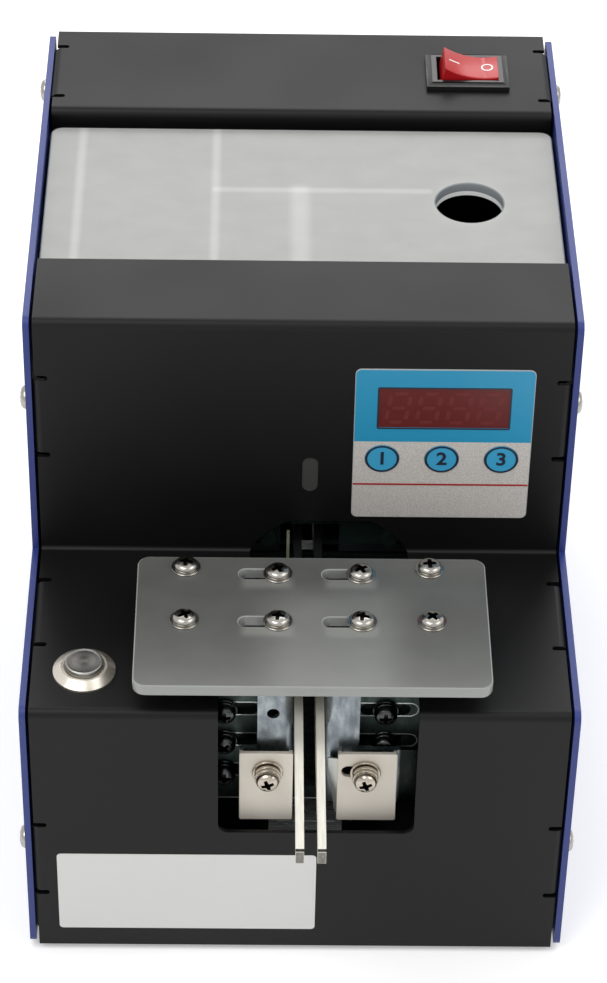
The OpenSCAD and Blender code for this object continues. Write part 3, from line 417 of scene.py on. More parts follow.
@dataclass(frozen=True)
class Laminated(Finish):
    """A stack of thin sheets or a wound coil, seen as fine parallel lines."""

    pitch: float = 0.5
    axis: str = "Z"
    metallic: float = 1.0
    dark: str = "#4a4c4d"

    def shade(self, tree: bpy.types.NodeTree, shader: bpy.types.Node) -> None:
        """Draw the lines at their real pitch."""
        shader.inputs["Metallic"].default_value = self.metallic
        place = add_node(tree, "ShaderNodeTexCoord")
        scale = per_mm(self.pitch) / (2 * math.pi) * math.pi / 10
        lines = add_node(tree, "ShaderNodeTexWave", {"Scale": scale}, {"Vector": place.outputs["Object"]},
                         bands_direction=self.axis)
        self.mottle(tree, shader, lines.outputs[1], self.dark, 0.0, 0.7)
        self.raise_surface(tree, shader, lines.outputs[1], 0.05, 0.7)


@dataclass(frozen=True)
class SpunMetal(Finish):
    """Metal faced on a lathe: fine rings round its middle that fan its highlights."""

    centre: tuple[float, float, float] = (0.0, 0.0, 0.0)
    ring: float = 0.35

    def shade(self, tree: bpy.types.NodeTree, shader: bpy.types.Node) -> None:
        """Make it metal with rings."""
        shader.inputs["Metallic"].default_value = 1.0
        shader.inputs["Anisotropic"].default_value = 0.6
        place = add_node(tree, "ShaderNodeTexCoord")
        centred = add_node(tree, "ShaderNodeMapping", {"Location": tuple(-c for c in self.centre)},
                           {"Vector": place.outputs["Object"]})
        rings = add_node(tree, "ShaderNodeTexWave", {"Scale": per_mm(self.ring) / 20, "Distortion": 0.6},
                         {"Vector": centred.outputs[0]}, wave_type="RINGS", rings_direction="Z")
        self.mottle(tree, shader, rings.outputs[1], "#5c5b59", 0.0, 0.3)
        round_z = add_node(tree, "ShaderNodeTangent", direction_type="RADIAL", axis="Z")
        tree.links.new(round_z.outputs[0], shader.inputs["Tangent"])


# the upper and the lower front face, and the middle of the lid's finger hole
UPPER_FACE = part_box("display_panel")[0].y
LOWER_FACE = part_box("front_cover")[0].y
FINGER = Vector((40.8 * MM, 111.7 * MM + LOWER_FACE))

# a head guide's two screws: the first from the guide's back, the second from the first
HEAD_SCREW_INSET = 4.0 * MM
HEAD_SCREW_PITCH = 16.8 * MM


def under_lid() -> tuple[tuple[float, ...], ...]:
    """List the pale bands of painted light on the lid, where what lies close under it shows through, and a
    halo round the finger hole: left, right, front, back and softness of each.
    """
    lid, wall, cheek, hopper = (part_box(n) for n in ("lid", "bay_wall", "frame_cheek_left", "hopper"))
    thin, soft = 0.3 * MM, 1.6 * MM
    return ((wall[0].x, wall[0].x + thin, lid[0].y, lid[1].y, soft),
            (cheek[1].x - thin, cheek[1].x, lid[0].y, lid[1].y, soft),
            (hopper[0].x, hopper[1].x, hopper[1].y - thin, hopper[1].y, soft),
            (-1 * MM, 0, lid[0].y, hopper[1].y, 2 * soft),
            # a soft halo of painted light round the finger hole
            (FINGER.x, FINGER.x, FINGER.y - 2 * MM, FINGER.y + 2 * MM, 11 * MM))


def guide_screws(side: str) -> list[Vector]:
    """Find where a head guide's two screws stand on the plate.

    Args:
        side: left or right.

    Returns:
        The places of the back screw and of the front one.
    """
    low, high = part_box(f"head_guide_{side}")
    back = Vector(((low.x + high.x) / 2, high.y - HEAD_SCREW_INSET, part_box("guide_plate")[1].z))
    return [back, back - Vector((0, HEAD_SCREW_PITCH, 0))]


def over_rails() -> tuple[tuple[float, ...], ...]:
    """List the painted light on the guide plate: a lighter band over the rails, and one in front of each
    slot, where its slots pass light on.
    """
    low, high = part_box("guide_plate")
    over, glow = 13 * MM, 2.6 * MM
    bands = [(-1 * MM, 16 * MM, low.y + 2 * MM, high.y - 20 * MM, over)]
    for side in ("left", "right"):
        for m in guide_screws(side):
            bands.append((m.x - 7 * MM, m.x + 2 * MM, m.y - 3.6 * MM, m.y - 2.4 * MM, glow))
    return tuple(bands)


# powder-coated sheet steel
BLACK_COAT = PowderCoat("black_powder_coat", "#0e0e0e", 0.42, gloss=0.2)
BLUE_COAT = PowderCoat("blue_powder_coat", "#2b397a", 0.42, gloss=0.4)
BASE_COAT = PowderCoat("base_powder_coat", "#3a3c3e", 0.55)
HOPPER_COAT = PowderCoat("hopper_powder_coat", "#2f3336", 0.5)
# screws, plated and turned metal
ZINC_SCREW = Plating("zinc_plated_screw", "#a5a29c", 0.2)
BLACK_SCREW = Plating("black_oxide_screw", "#4a4b4d", 0.24)
NICKEL = Plating("satin_nickel_plate", "#dfd8cc", 0.5, cloud=6.0, metallic=0.15)
CHROME = Plating("polished_nickel_ring", "#d6cfc3", 0.3, metallic=0.8)
TURNED_STEEL = Plating("turned_steel_cap", "#cfcfcb", 0.3)
BRONZE = Plating("turned_bronze", "#b08d57", 0.3)
MOTOR_CAN = Plating("drawn_motor_can", "#a4a8ab", 0.28)
MICRO_BRASS = Plating("micro_motor_case", "#c9b27a", 0.3)
# ground and rolled steel
# the rails' colour turns near black past the guide plate's back: painted shade
RAIL_STEEL = GroundSteel("ground_rail_steel", "#d3d0c5", 0.42, dark="#aeaba1", metallic=0.3,
                         bright_to=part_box("guide_plate")[1].y - 6 * MM)
SHAFT_STEEL = GroundSteel("ground_shaft_steel", "#b4b6b6", 0.28, along=(0.04, 1.0, 1.0))
# zinc-plated, phosphated and cast metal
ZINC_SHEET = ZincSheet("zinc_plated_sheet", "#8f979c", 0.32, patch=2.0, other="#5e666c")
# the holders turn near black behind the carrier plate's front and right of the right cap
HOLDER_ZINC = ZincSheet("zinc_plated_holder", "#9aa1a5", 0.3, patch=2.0, other="#596168",
                        bright_to=LOWER_FACE + 13.2 * MM)
PHOSPHATE = ZincSheet("phosphated_plate", "#4b5653", 0.48, patch=2.0, other="#2f3836")
CAST_BLOCK = ZincSheet("blasted_casting", "#75797c", 0.55, patch=1.2, other="#5c6063")
# frosted cast acrylic
# the lid's pale bands are painted light where the walls and rails under it show through, with a halo round
# the finger hole
LID_ACRYLIC = FrostedSheet("frosted_lid_acrylic", "#abaca8", 0.3, clear=0.4, bands=under_lid())
# the guide plate's lighter bands are painted light, from the rails below and at its slots
GUIDE_ACRYLIC = FrostedSheet("frosted_guide_acrylic", "#6f706d", 0.28, clear=0.35, bands=over_rails(),
                             pale="#a2a39e", share=0.6)
# sawn, sheared and bent edges, painted highlights on the carrier plate's edges, and painted shade on the
# rails' upper edges and in a screw's recess
SAWN_STEEL = ZincSheet("sawn_rail_end", "#8d8b84", 0.5, patch=0.25, other="#55544f")
# a bright strip: painted highlight along the carrier plate's lower edges
EDGE_HIGHLIGHT = Plating("painted_edge_highlight", "#e4e8e6", 0.3, metallic=0.2)
BENT_NICKEL = Plating("bent_nickel_flange", "#b4b5b0", 0.34, cloud=1.5, metallic=0.8)
GUARD_EDGE = Moulded("clear_sheet_edge", "#a3a98c", 0.4)
# the blade shaft is coloured near black
DARK_SHAFT = Plating("dark_shaft_steel", "#1b1f1d", 0.45)
RECESS = Plating("shaded_screw_recess", "#35322d", 0.35)
CAP_SCREW = Plating("nickel_plated_screw", "#b8afa2", 0.22)
# near black: painted shade on the rails' upper front edges and in the black screws' recesses
EDGE_AND_RECESS_SHADE = Plating("painted_edge_and_recess_shade", "#3b3a37", 0.4)
# bright rims round the carrier plate's slots: painted highlight
SLOT_HIGHLIGHT = Plating("painted_slot_highlight", "#c4cbc8", 0.25, metallic=0.6)
# closed-cell foam
FOAM = Moulded("white_foam", "#f2f2ee", 0.8, depth=0.03)
# polished, smoked and tinted acrylic; the guard's dark tint is painted shade
# a white ring: painted highlight on the finger hole's rim
RIM_LIGHT = Acrylic("painted_rim_highlight", "#ffffff", 0.2, clear=0.0, blast=2.0)
HOLE_WALL = Acrylic("polished_lid_edge", "#9ba1a4", 0.2, clear=0.2, blast=2.0)
POLISHED_EDGE = Acrylic("polished_acrylic_edge", "#b7b9b6", 0.2, clear=0.3, blast=2.0)
# the guard's dark tint is painted shade: it darkens the rails and the housing's inside seen through it
GUARD_ACRYLIC = Acrylic("guard_acrylic_painted_shade", "#2b3a36", 0.1, clear=0.7)
PEEP_ACRYLIC = Acrylic("smoked_peep_acrylic", "#3e3e3c", 0.35, clear=0.0)
RED_FILTER = Acrylic("red_display_filter", "#5e0f0d", 0.3, clear=0.0)
# printed polyester film and ink
BLUE_FILM = Film("blue_printed_film", "#1190ba", 0.38)
GREY_FILM = Film("silver_printed_film", "#d5d1cc", 0.4, flake="#b3afaa")
NAVY_PRINT = Film("navy_print", "#0a1730", 0.4)
RED_PRINT = Film("red_print", "#a31a1c", 0.4)
KEY_FILM = Film("key_printed_film", "#37a3cf", 0.36)
FILM_EDGE = Film("pale_film_edge", "#b9bcbc", 0.4)
LABEL_FILM = Film("silver_label_film", "#dcdcda", 0.42)
WHITE_INK = Film("white_ink", "#ecebe8", 0.45)
# moulded plastics and rubber
SEGMENT = Moulded("unlit_segment", "#661614", 0.4)
NYLON_BLACK = Moulded("black_moulded_nylon", "#191919", 0.3)
ROCKER_RED = Moulded("red_moulded_rocker", "#b2141a", 0.28, depth=0.003)
FOOT_RUBBER = Moulded("black_foot_rubber", "#1c1c1c", 0.75, depth=0.02, sheen=0.2)
SILICONE = Moulded("clear_silicone", "#e9e4d0", 0.4)
GUIDE_PLASTIC = Moulded("machined_acetal", "#868987", 0.42, depth=0.01)
BRISTLE = Moulded("nylon_bristle", "#202020", 0.6, grain_size=0.3, depth=0.15)
GEAR_NYLON = Moulded("natural_nylon", "#e6e0cc", 0.4)
# solder mask, core sheets and winding
SOLDER_MASK = Film("green_solder_mask", "#1f5a34", 0.3)
LAMINATION = Laminated("stacked_laminations", "#86888a", 0.4)
# the winding is coloured near black
WINDING = Laminated("dark_copper_winding", "#33241a", 0.5, pitch=0.6, metallic=0.1, dark="#1c1510")

FINISHES: dict[str, Finish] = {
    "blue_paint": BLUE_COAT, "black_paint": BLACK_COAT, "plated_screw": ZINC_SCREW, "base_paint": BASE_COAT,
    "foot_rubber": FOOT_RUBBER, "zinc_sheet": ZINC_SHEET, "bumper": SILICONE, "smoke_acrylic": LID_ACRYLIC,
    "frosted_acrylic": GUIDE_ACRYLIC, "guard_acrylic": GUARD_ACRYLIC, "membrane": BLUE_FILM,
    "red_window": RED_FILTER, "key_film": KEY_FILM, "circuit_board": SOLDER_MASK, "switch_black": NYLON_BLACK,
    "rocker_red": ROCKER_RED, "chrome_metal": CHROME, "button_steel": TURNED_STEEL,
    "bright_steel": SHAFT_STEEL, "rail_steel": RAIL_STEEL, "guide_grey": GUIDE_PLASTIC,
    "nickel_plate": NICKEL, "black_screw": BLACK_SCREW,
    "phosphate": PHOSPHATE, "cast_block": CAST_BLOCK, "core_steel": LAMINATION, "copper_winding": WINDING,
    "hopper_paint": HOPPER_COAT, "bronze": BRONZE, "motor_can": MOTOR_CAN, "brush_bristle": BRISTLE,
    "gear_nylon": GEAR_NYLON, "micro_motor": MICRO_BRASS,
}

# nodes whose finish isn't the one of their slot
NODE_FINISHES: dict[str, Finish] = {
    "peep_window": PEEP_ACRYLIC, "blade_shaft": DARK_SHAFT, "rail_holder_left": HOLDER_ZINC,
    "rail_holder_right": HOLDER_ZINC,
}


# ---- pieces ----


def finish_piece(mesh: bmesh.types.BMesh, name: str, finish: Finish, body: str,
                 replaced: tuple[str, ...] = (), smooth: float = 40.0,
                 second: Finish | None = None) -> bpy.types.Object:
    """Turn a finished bmesh into a piece of the feeder.

    Args:
        mesh: The shape, already in place.
        name: The piece's name.
        finish: Its finish.
        body: The body that it rides on.
        replaced: CAD nodes that it stands for.
        smooth: Edges flatter than this angle, in degrees, are shaded smooth.
        second: Finish of the faces that were given material 1.

    Returns:
        The new object.
    """
    bmesh.ops.recalc_face_normals(mesh, faces=mesh.faces)
    data = bpy.data.meshes.new(name)
    mesh.to_mesh(data)
    mesh.free()
    data.materials.append(finish.material())
    if second:
        data.materials.append(second.material())
    data.shade_smooth()
    data.set_sharp_from_angle(angle=math.radians(smooth))
    # a sheet's flat faces keep their own normal, so that its soft edges don't shade them
    for face in data.polygons:
        face.use_smooth = max(abs(c) for c in face.normal) < 0.9999
    piece = bpy.data.objects.new(name, data)
    bpy.context.scene.collection.objects.link(piece)
    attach(piece, body)
    if replaced:
        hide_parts(*replaced)
    log.info("%s: %d faces, rides on %s", name, len(data.polygons), body)
    return piece


def move_all(mesh: bmesh.types.BMesh, place: Vector) -> None:
    """Move a whole bmesh to its place."""
    bmesh.ops.translate(mesh, verts=mesh.verts, vec=place)


def block(middle: Vector, size: Vector) -> Matrix:
    """Give the matrix that makes a unit cube this large round this middle."""
    return Matrix.Translation(middle) @ Matrix.Diagonal((*size, 1))


def stacked(place: Matrix, height: float, angle: float) -> Matrix:
    """Give the place at this height over another, turned round its own axis."""
    return place @ Matrix.Translation((0, 0, height)) @ Matrix.Rotation(angle, 4, "Z")


def facing_front(place: Vector) -> Matrix:
    """Turn local +Z to the front (-Y), local +Y up, and move to this place."""
    return Matrix.Translation(place) @ Matrix.Rotation(math.pi / 2, 4, "X")


class Corner(Enum):
    """How many segments a rounded corner gets."""

    SMALL = 4
    LARGE = 8


def outline_box(mesh: bmesh.types.BMesh, low: Vector, high: Vector, radius: float,
                corner: Corner = Corner.LARGE) -> list[bmesh.types.BMEdge]:
    """Draw a rectangle with round corners in the X-Y plane.

    Args:
        mesh: The bmesh that it goes into.
        low: Its lower left corner.
        high: Its upper right corner.
        radius: Corner radius; 0 keeps the corners sharp.
        corner: Segments in each corner.

    Returns:
        The outline's edges.
    """
    middle = (low + high) / 2
    size = high - low
    made = bmesh.ops.create_grid(mesh, x_segments=1, y_segments=1, size=0.5,
                                 matrix=Matrix.Translation((middle.x, middle.y, 0))
                                 @ Matrix.Diagonal((size.x, size.y, 1, 1)))
    if radius > 0:
        made = bmesh.ops.bevel(mesh, geom=made["verts"], offset=radius, affect="VERTICES",
                               segments=corner.value, profile=0.5, material=-1)
    face = made["verts"][0].link_faces[0]
    edges = list(face.edges)
    bmesh.ops.delete(mesh, geom=[face], context="FACES_ONLY")
    return edges


def outline_circle(mesh: bmesh.types.BMesh, middle: Vector, radius: float, segments: int = 48) -> list:
    """Draw a circle in the X-Y plane.

    Args:
        mesh: The bmesh that it goes into.
        middle: Its middle.
        radius: Its radius.
        segments: Its number of edges.

    Returns:
        The circle's edges.
    """
    made = bmesh.ops.create_circle(mesh, cap_ends=False, segments=segments, radius=radius,
                                   matrix=Matrix.Translation((middle.x, middle.y, 0)))
    return list({e for v in made["verts"] for e in v.link_edges})


def outline_slot(mesh: bmesh.types.BMesh, start: Vector, end: Vector, radius: float) -> list:
    """Draw a slot with round ends along X in the X-Y plane.

    Args:
        mesh: The bmesh that it goes into.
        start: Middle of its left end.
        end: Middle of its right end.
        radius: Half its width.

    Returns:
        The slot's edges.
    """
    reach = Vector((radius, radius))
    return outline_box(mesh, start.to_2d() - reach, end.to_2d() + reach, radius * 0.999)


def cut_sheet(mesh: bmesh.types.BMesh, outlines: list[list], thick: float, soft: float = 0.0,
              base: float = 0.0) -> None:
    """Fill outlines, the first outside and the others holes, and thicken the sheet along +Z.

    Args:
        mesh: The bmesh that holds the outlines.
        outlines: Edges of each outline.
        thick: The sheet's thickness.
        soft: Radius of the edge round both faces; 0 leaves it sharp.
        base: Height of the sheet's lower face.
    """
    edges = [e for outline in outlines for e in outline]
    bmesh.ops.translate(mesh, verts=list({v for e in edges for v in e.verts}), vec=(0, 0, base))
    filled = bmesh.ops.triangle_fill(mesh, use_beauty=True, use_dissolve=False, edges=edges, normal=(0, 0, 1))
    faces = [g for g in filled["geom"] if isinstance(g, bmesh.types.BMFace)]
    pushed = bmesh.ops.extrude_face_region(mesh, geom=faces)
    top = [g for g in pushed["geom"] if isinstance(g, bmesh.types.BMVert)]
    bmesh.ops.translate(mesh, verts=top, vec=(0, 0, thick))
    bmesh.ops.recalc_face_normals(mesh, faces=mesh.faces)
    if soft > 0:
        rim = [e for e in mesh.edges if len(e.link_faces) == 2
               and e.calc_face_angle() > math.radians(60)]
        bmesh.ops.bevel(mesh, geom=rim, offset=soft, affect="EDGES", segments=2, profile=0.5, material=-1)


def lathe(mesh: bmesh.types.BMesh, profile: list[tuple[float, float]], segments: int = 32,
          turn: float = math.tau, climb: float = 0.0) -> list[bmesh.types.BMVert]:
    """Spin a profile of (radius, height) points round the Z axis.

    Args:
        mesh: The bmesh that it goes into.
        profile: The points, from one end on or near the axis to the other.
        segments: Steps round the axis.
        turn: Angle that it is spun through.
        climb: Rise along Z over the whole turn.

    Returns:
        The new vertices.
    """
    before = set(mesh.verts)
    verts = [mesh.verts.new((r, 0, z)) for r, z in profile]
    edges = [mesh.edges.new(pair) for pair in zip(verts, verts[1:])]
    full = abs(turn - math.tau) < 1e-6
    bmesh.ops.spin(mesh, geom=verts + edges, cent=(0, 0, 0), axis=(0, 0, 1), dvec=(0, 0, climb / segments),
                   angle=turn, steps=segments, use_merge=full)
    made = [v for v in mesh.verts if v not in before]
    bmesh.ops.remove_doubles(mesh, verts=made, dist=1e-7)
    return [v for v in mesh.verts if v not in before]


def mark(text: str, name: str, height: float, place: Matrix, finish: Finish, body: str,
         depth: float = 0.00004, bold: float = 0.0) -> bpy.types.Object:
    """Print a plain sign, such as a number on a key, as a thin raised piece.

    Args:
        text: The sign.
        name: The piece's name.
        height: Height of a capital in metres.
        place: Where the sign's middle goes; it faces local +Z.
        finish: Its ink.
        body: The body that it rides on.
        depth: Half the thickness of the ink.
        bold: How much the strokes are widened.

    Returns:
        The new object.
    """
    curve = bpy.data.curves.new(name, "FONT")
    curve.body = text
    curve.size = height / 0.7
    curve.align_x = "CENTER"
    curve.align_y = "CENTER"
    curve.extrude = depth
    curve.offset = bold
    drawn = bpy.data.objects.new(name + "_text", curve)
    bpy.context.scene.collection.objects.link(drawn)
    bpy.context.view_layer.update()
    data = bpy.data.meshes.new_from_object(drawn.evaluated_get(bpy.context.evaluated_depsgraph_get()))
    bpy.data.objects.remove(drawn)
    mesh = bmesh.new()
    mesh.from_mesh(data)
    bpy.data.meshes.remove(data)
    bmesh.ops.remove_doubles(mesh, verts=mesh.verts, dist=1e-7)
    bmesh.ops.transform(mesh, matrix=place, verts=mesh.verts)
    return finish_piece(mesh, name, finish, body)


@dataclass
class Dresser:
    """Gives every CAD node the finish of its material slot."""

    def dress(self) -> None:
        """Put the finishes on the nodes' own material slots."""
        slots = {p["node"]: p["material_slot"] for p in frame["record"]["subparts"]}
        for node, thing in frame["nodes"].items():
            self.dress_node(thing, NODE_FINISHES.get(node, FINISHES[slots[node]]))
            log.info("%s: %s", node, slots[node])

    def dress_node(self, thing: bpy.types.Object, finish: Finish) -> None:
        """Put one finish on a node.

        Args:
            thing: The node's object.
            finish: Its finish.
        """
        if not thing.material_slots:
            thing.data.materials.append(finish.material())
        for slot in thing.material_slots:
            slot.material = finish.material()


# ---- screws ----

@dataclass
class PanScrew:
    """A pan-head machine screw with a cross recess, its head standing on z = 0 and its thread below."""

    head_r: float = 2.9 * MM
    head_h: float = 1.9 * MM
    length: float = 6.0 * MM
    thread_r: float = 1.5 * MM
    pitch: float = 0.5 * MM
    segments: int = 28

    def build(self, mesh: bmesh.types.BMesh, place: Matrix) -> None:
        """Add the screw to a bmesh.

        Args:
            mesh: The bmesh that it goes into.
            place: Where the seat's middle goes.
        """
        one = bmesh.new()
        self.head(one)
        self.recess(one)
        self.thread(one)
        bmesh.ops.recalc_face_normals(one, faces=one.faces)
        bmesh.ops.transform(one, matrix=place, verts=one.verts)
        data = bpy.data.meshes.new("screw_part")
        one.to_mesh(data)
        one.free()
        mesh.from_mesh(data)
        bpy.data.meshes.remove(data)

    def head(self, mesh: bmesh.types.BMesh) -> None:
        """Lathe the domed head, open in the middle of its top."""
        r, h = self.head_r, self.head_h
        profile = [(self.thread_r, 0), (r * 0.97, 0), (r, h * 0.08), (r, h * 0.34), (r * 0.96, h * 0.5),
                   (r * 0.88, h * 0.68), (r * 0.78, h * 0.82)]
        lathe(mesh, profile, self.segments)

    def recess(self, mesh: bmesh.types.BMesh) -> None:
        """Sink the cross in the head's top and join it to the dome."""
        arm, half, top = self.head_r * 0.56, self.head_r * 0.15, self.head_h
        corners = []
        for quarter in range(4):
            turn = Matrix.Rotation(quarter * math.pi / 2, 3, "Z")
            corners += [turn @ Vector(p) for p in ((half * 1.25, half * 1.25, top), (half, arm, top * 0.9),
                                                   (-half, arm, top * 0.9))]
        # the corners run round anticlockwise: inner corner, then the two ends of the next arm
        verts = [mesh.verts.new(c) for c in corners]
        face = mesh.faces.new(verts)
        rim = list(face.edges)
        ring = [e for e in mesh.edges if e not in rim and len(e.link_faces) == 1
                and all(v.co.z > self.head_h * 0.8 for v in e.verts)]
        before = set(mesh.faces)
        pushed = bmesh.ops.extrude_face_region(mesh, geom=[face])
        low = [g for g in pushed["geom"] if isinstance(g, bmesh.types.BMVert)]
        bmesh.ops.scale(mesh, verts=low, vec=(0.8, 0.8, 1))
        bmesh.ops.translate(mesh, verts=low, vec=(0, 0, -self.head_h * 0.75))
        # the sunk faces take the screw's second finish, painted shade in the recess
        for sunk in set(mesh.faces) - before:
            sunk.material_index = 1
        if face.is_valid and len(face.verts) == 12 and face not in pushed["geom"]:
            bmesh.ops.delete(mesh, geom=[face], context="FACES_ONLY")
        bmesh.ops.bridge_loops(mesh, edges=[e for e in rim if e.is_valid] + ring)

    def thread(self, mesh: bmesh.types.BMesh) -> None:
        """Lathe the thread as a row of ridges."""
        ridges = max(2, int(self.length / self.pitch))
        step = self.length / ridges
        profile = [(self.thread_r, 0.0)]
        for i in range(ridges):
            profile += [(self.thread_r * 0.82, -(i + 0.5) * step), (self.thread_r, -(i + 1) * step)]
        profile.append((0.0, -self.length))
        lathe(mesh, profile, 16)


@dataclass
class LockWasher:
    """A split spring washer, or a flat one, standing on z = 0."""

    outer: float = 2.9 * MM
    inner: float = 1.6 * MM
    thick: float = 0.7 * MM
    split: bool = True

    def build(self, mesh: bmesh.types.BMesh, place: Matrix) -> None:
        """Add the washer to a bmesh.

        Args:
            mesh: The bmesh that it goes into.
            place: Where the middle of its lower face goes.
        """
        one = bmesh.new()
        edge = self.thick * 0.15
        profile = [(self.inner, 0), (self.outer - edge, 0), (self.outer, edge),
                   (self.outer, self.thick - edge), (self.outer - edge, self.thick),
                   (self.inner, self.thick), (self.inner, 0)]
        if self.split:
            lathe(one, profile, 30, math.radians(350), self.thick * 0.25)
            ends = [e for e in one.edges if e.is_boundary]
            bmesh.ops.holes_fill(one, edges=ends, sides=0)
        else:
            lathe(one, profile, 30)
        bmesh.ops.recalc_face_normals(one, faces=one.faces)
        bmesh.ops.transform(one, matrix=place, verts=one.verts)
        data = bpy.data.meshes.new("washer_part")
        one.to_mesh(data)
        one.free()
        mesh.from_mesh(data)
        bpy.data.meshes.remove(data)


# ---- front of the housing ----

@dataclass
class Label:
    """The blank silver label at the foot of the front."""

    left: float = -57.6 * MM
    right: float = 4.6 * MM
    low: float = 8.0 * MM
    high: float = 33.7 * MM
    thick: float = 0.12 * MM
    radius: float = 1.0 * MM

    def build(self) -> None:
        """Build the label."""
        mesh = bmesh.new()
        edge = outline_box(mesh, Vector((self.left, self.low)), Vector((self.right, self.high)), self.radius)
        cut_sheet(mesh, [edge], self.thick)
        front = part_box("front_cover")[0].y
        bmesh.ops.transform(mesh, matrix=facing_front(Vector((0, front, 0))), verts=mesh.verts)
        finish_piece(mesh, "name_label", LABEL_FILM, "housing")


@dataclass
class DisplayFace:
    """The printed face of the display panel, its window and its three keys."""

    outline: float = 0.18 * MM
    film: float = 0.12 * MM
    radius: float = 1.3 * MM
    blue_above: float = 23.5 * MM
    line_above: float = 10.4 * MM
    line_h: float = 0.5 * MM
    key_r: float = 4.0 * MM
    key_ring: float = 0.5 * MM
    frame_w: float = 0.4 * MM
    digits: int = 4
    digit_h: float = 8.6 * MM
    digit_w: float = 4.6 * MM
    stroke: float = 1.0 * MM
    slant: float = 0.14

    def build(self) -> None:
        """Build the films, the key faces and the digits."""
        low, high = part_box("display_panel")
        self.front = low.y
        inset = Vector((self.outline, self.outline))
        left_low = Vector((low.x, low.z)) + inset
        right_high = Vector((high.x, high.z)) - inset
        split = low.z + self.blue_above
        self.window_film(Vector((left_low.x, split)), right_high)
        self.key_film(left_low, Vector((right_high.x, split)))
        self.line(left_low.x, right_high.x, low.z + self.line_above)
        for number in (1, 2, 3):
            self.key_face(number)
        self.window_digits()
        dress = frame["nodes"]["display_panel"]
        Dresser().dress_node(dress, FILM_EDGE)

    def piece(self, mesh: bmesh.types.BMesh, name: str, finish: Finish, proud: float, body: str = "housing",
              slot: str = "membrane") -> None:
        """Stand a flat drawing on the panel's front.

        Args:
            mesh: The drawing, with +Z towards the viewer.
            name: The piece's name.
            finish: Its finish.
            proud: How far its back stands before the panel's front.
            body: The body that it rides on.
            slot: The record's material slot; not used.
        """
        place = facing_front(Vector((0, self.front - proud, 0)))
        bmesh.ops.transform(mesh, matrix=place, verts=mesh.verts)
        finish_piece(mesh, name, finish, body)

    def window_film(self, low: Vector, high: Vector) -> None:
        """Cut the blue film with the display window's opening, and the dark frame round it."""
        glass_low, glass_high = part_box("display_window")
        size = Vector((30.8, 11.7)) * MM / 2
        middle = Vector(((glass_low.x + glass_high.x) / 2, (glass_low.z + glass_high.z) / 2))
        mesh = bmesh.new()
        edge = self.film_edge(mesh, low, high, 1)
        hole = outline_box(mesh, middle - size, middle + size, 0.2 * MM, Corner.SMALL)
        cut_sheet(mesh, [edge, hole], self.film)
        self.piece(mesh, "display_blue_film", BLUE_FILM, 0)
        mesh = bmesh.new()
        rim = Vector((self.frame_w, self.frame_w))
        outer = outline_box(mesh, middle - size - rim, middle + size + rim, 0.5 * MM, Corner.SMALL)
        inner = outline_box(mesh, middle - size, middle + size, 0.2 * MM, Corner.SMALL)
        cut_sheet(mesh, [outer, inner], self.film * 0.5)
        self.piece(mesh, "display_window_frame", NAVY_PRINT, self.film)

    def key_film(self, low: Vector, high: Vector) -> None:
        """Cut the silver film with the holes for the keys."""
        mesh = bmesh.new()
        outlines = [self.film_edge(mesh, low, high, -1)]
        for number in (1, 2, 3):
            key_low, key_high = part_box(f"key_{number}")
            middle = Vector(((key_low.x + key_high.x) / 2, (key_low.z + key_high.z) / 2))
            outlines.append(outline_circle(mesh, middle, self.key_r + 0.15 * MM))
        cut_sheet(mesh, outlines, self.film * 0.95)
        self.piece(mesh, "display_silver_film", GREY_FILM, 0)

    def film_edge(self, mesh: bmesh.types.BMesh, low: Vector, high: Vector, side: int) -> list:
        """Draw a film's edge, round at its outer corners and square where the two films meet.

        Args:
            mesh: The bmesh that it goes into.
            low: The film's lower left corner.
            high: Its upper right corner.
            side: 1 for round corners at the top, -1 for round corners at the bottom.

        Returns:
            The edges.
        """
        edges = outline_box(mesh, low, high, 0)
        end = high.y if side > 0 else low.y
        corners = [v for v in {v for e in edges for v in e.verts} if abs(v.co.y - end) < 1e-6]
        kept = [e for e in edges if not set(e.verts) & set(corners)]
        made = bmesh.ops.bevel(mesh, geom=corners, offset=self.radius, affect="VERTICES", segments=6,
                               profile=0.5, material=-1)
        linked = {e for v in made["verts"] for e in v.link_edges} | set(kept)
        return [e for e in linked if e.is_valid]

    def line(self, left: float, right: float, height: float) -> None:
        """Print the red line across the silver film."""
        mesh = bmesh.new()
        half = self.line_h / 2
        low, high = Vector((left, height - half)), Vector((right, height + half))
        edge = outline_box(mesh, low, high, 0.1 * MM, Corner.SMALL)
        cut_sheet(mesh, [edge], self.film * 0.5)
        self.piece(mesh, "display_red_line", RED_PRINT, self.film * 0.9)

    def key_face(self, number: int) -> None:
        """Print a key's dark ring and its number."""
        low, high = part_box(f"key_{number}")
        middle = Vector(((low.x + high.x) / 2, (low.z + high.z) / 2))
        mesh = bmesh.new()
        outer = outline_circle(mesh, middle, self.key_r - 0.02 * MM)
        inner = outline_circle(mesh, middle, self.key_r - self.key_ring)
        cut_sheet(mesh, [outer, inner], self.film * 0.5)
        proud = self.front - low.y
        self.piece(mesh, f"key_{number}_ring", NAVY_PRINT, proud, f"key_{number}", "key_film")
        place = facing_front(Vector((middle.x, low.y - 0.03 * MM, middle.y)))
        mark(str(number), f"key_{number}_number", 3.7 * MM, place, NAVY_PRINT, f"key_{number}",
             bold=0.12 * MM)

    def window_digits(self) -> None:
        """Set the unlit digits behind the window's face."""
        glass_low, glass_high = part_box("display_window")
        middle = Vector(((glass_low.x + glass_high.x) / 2, (glass_low.z + glass_high.z) / 2))
        mesh = bmesh.new()
        pitch = 7.2 * MM
        for i in range(self.digits):
            self.digit(mesh, middle + Vector(((i - (self.digits - 1) / 2) * pitch, 0)))
        self.piece(mesh, "display_digits", SEGMENT, 0, "housing", "red_window")

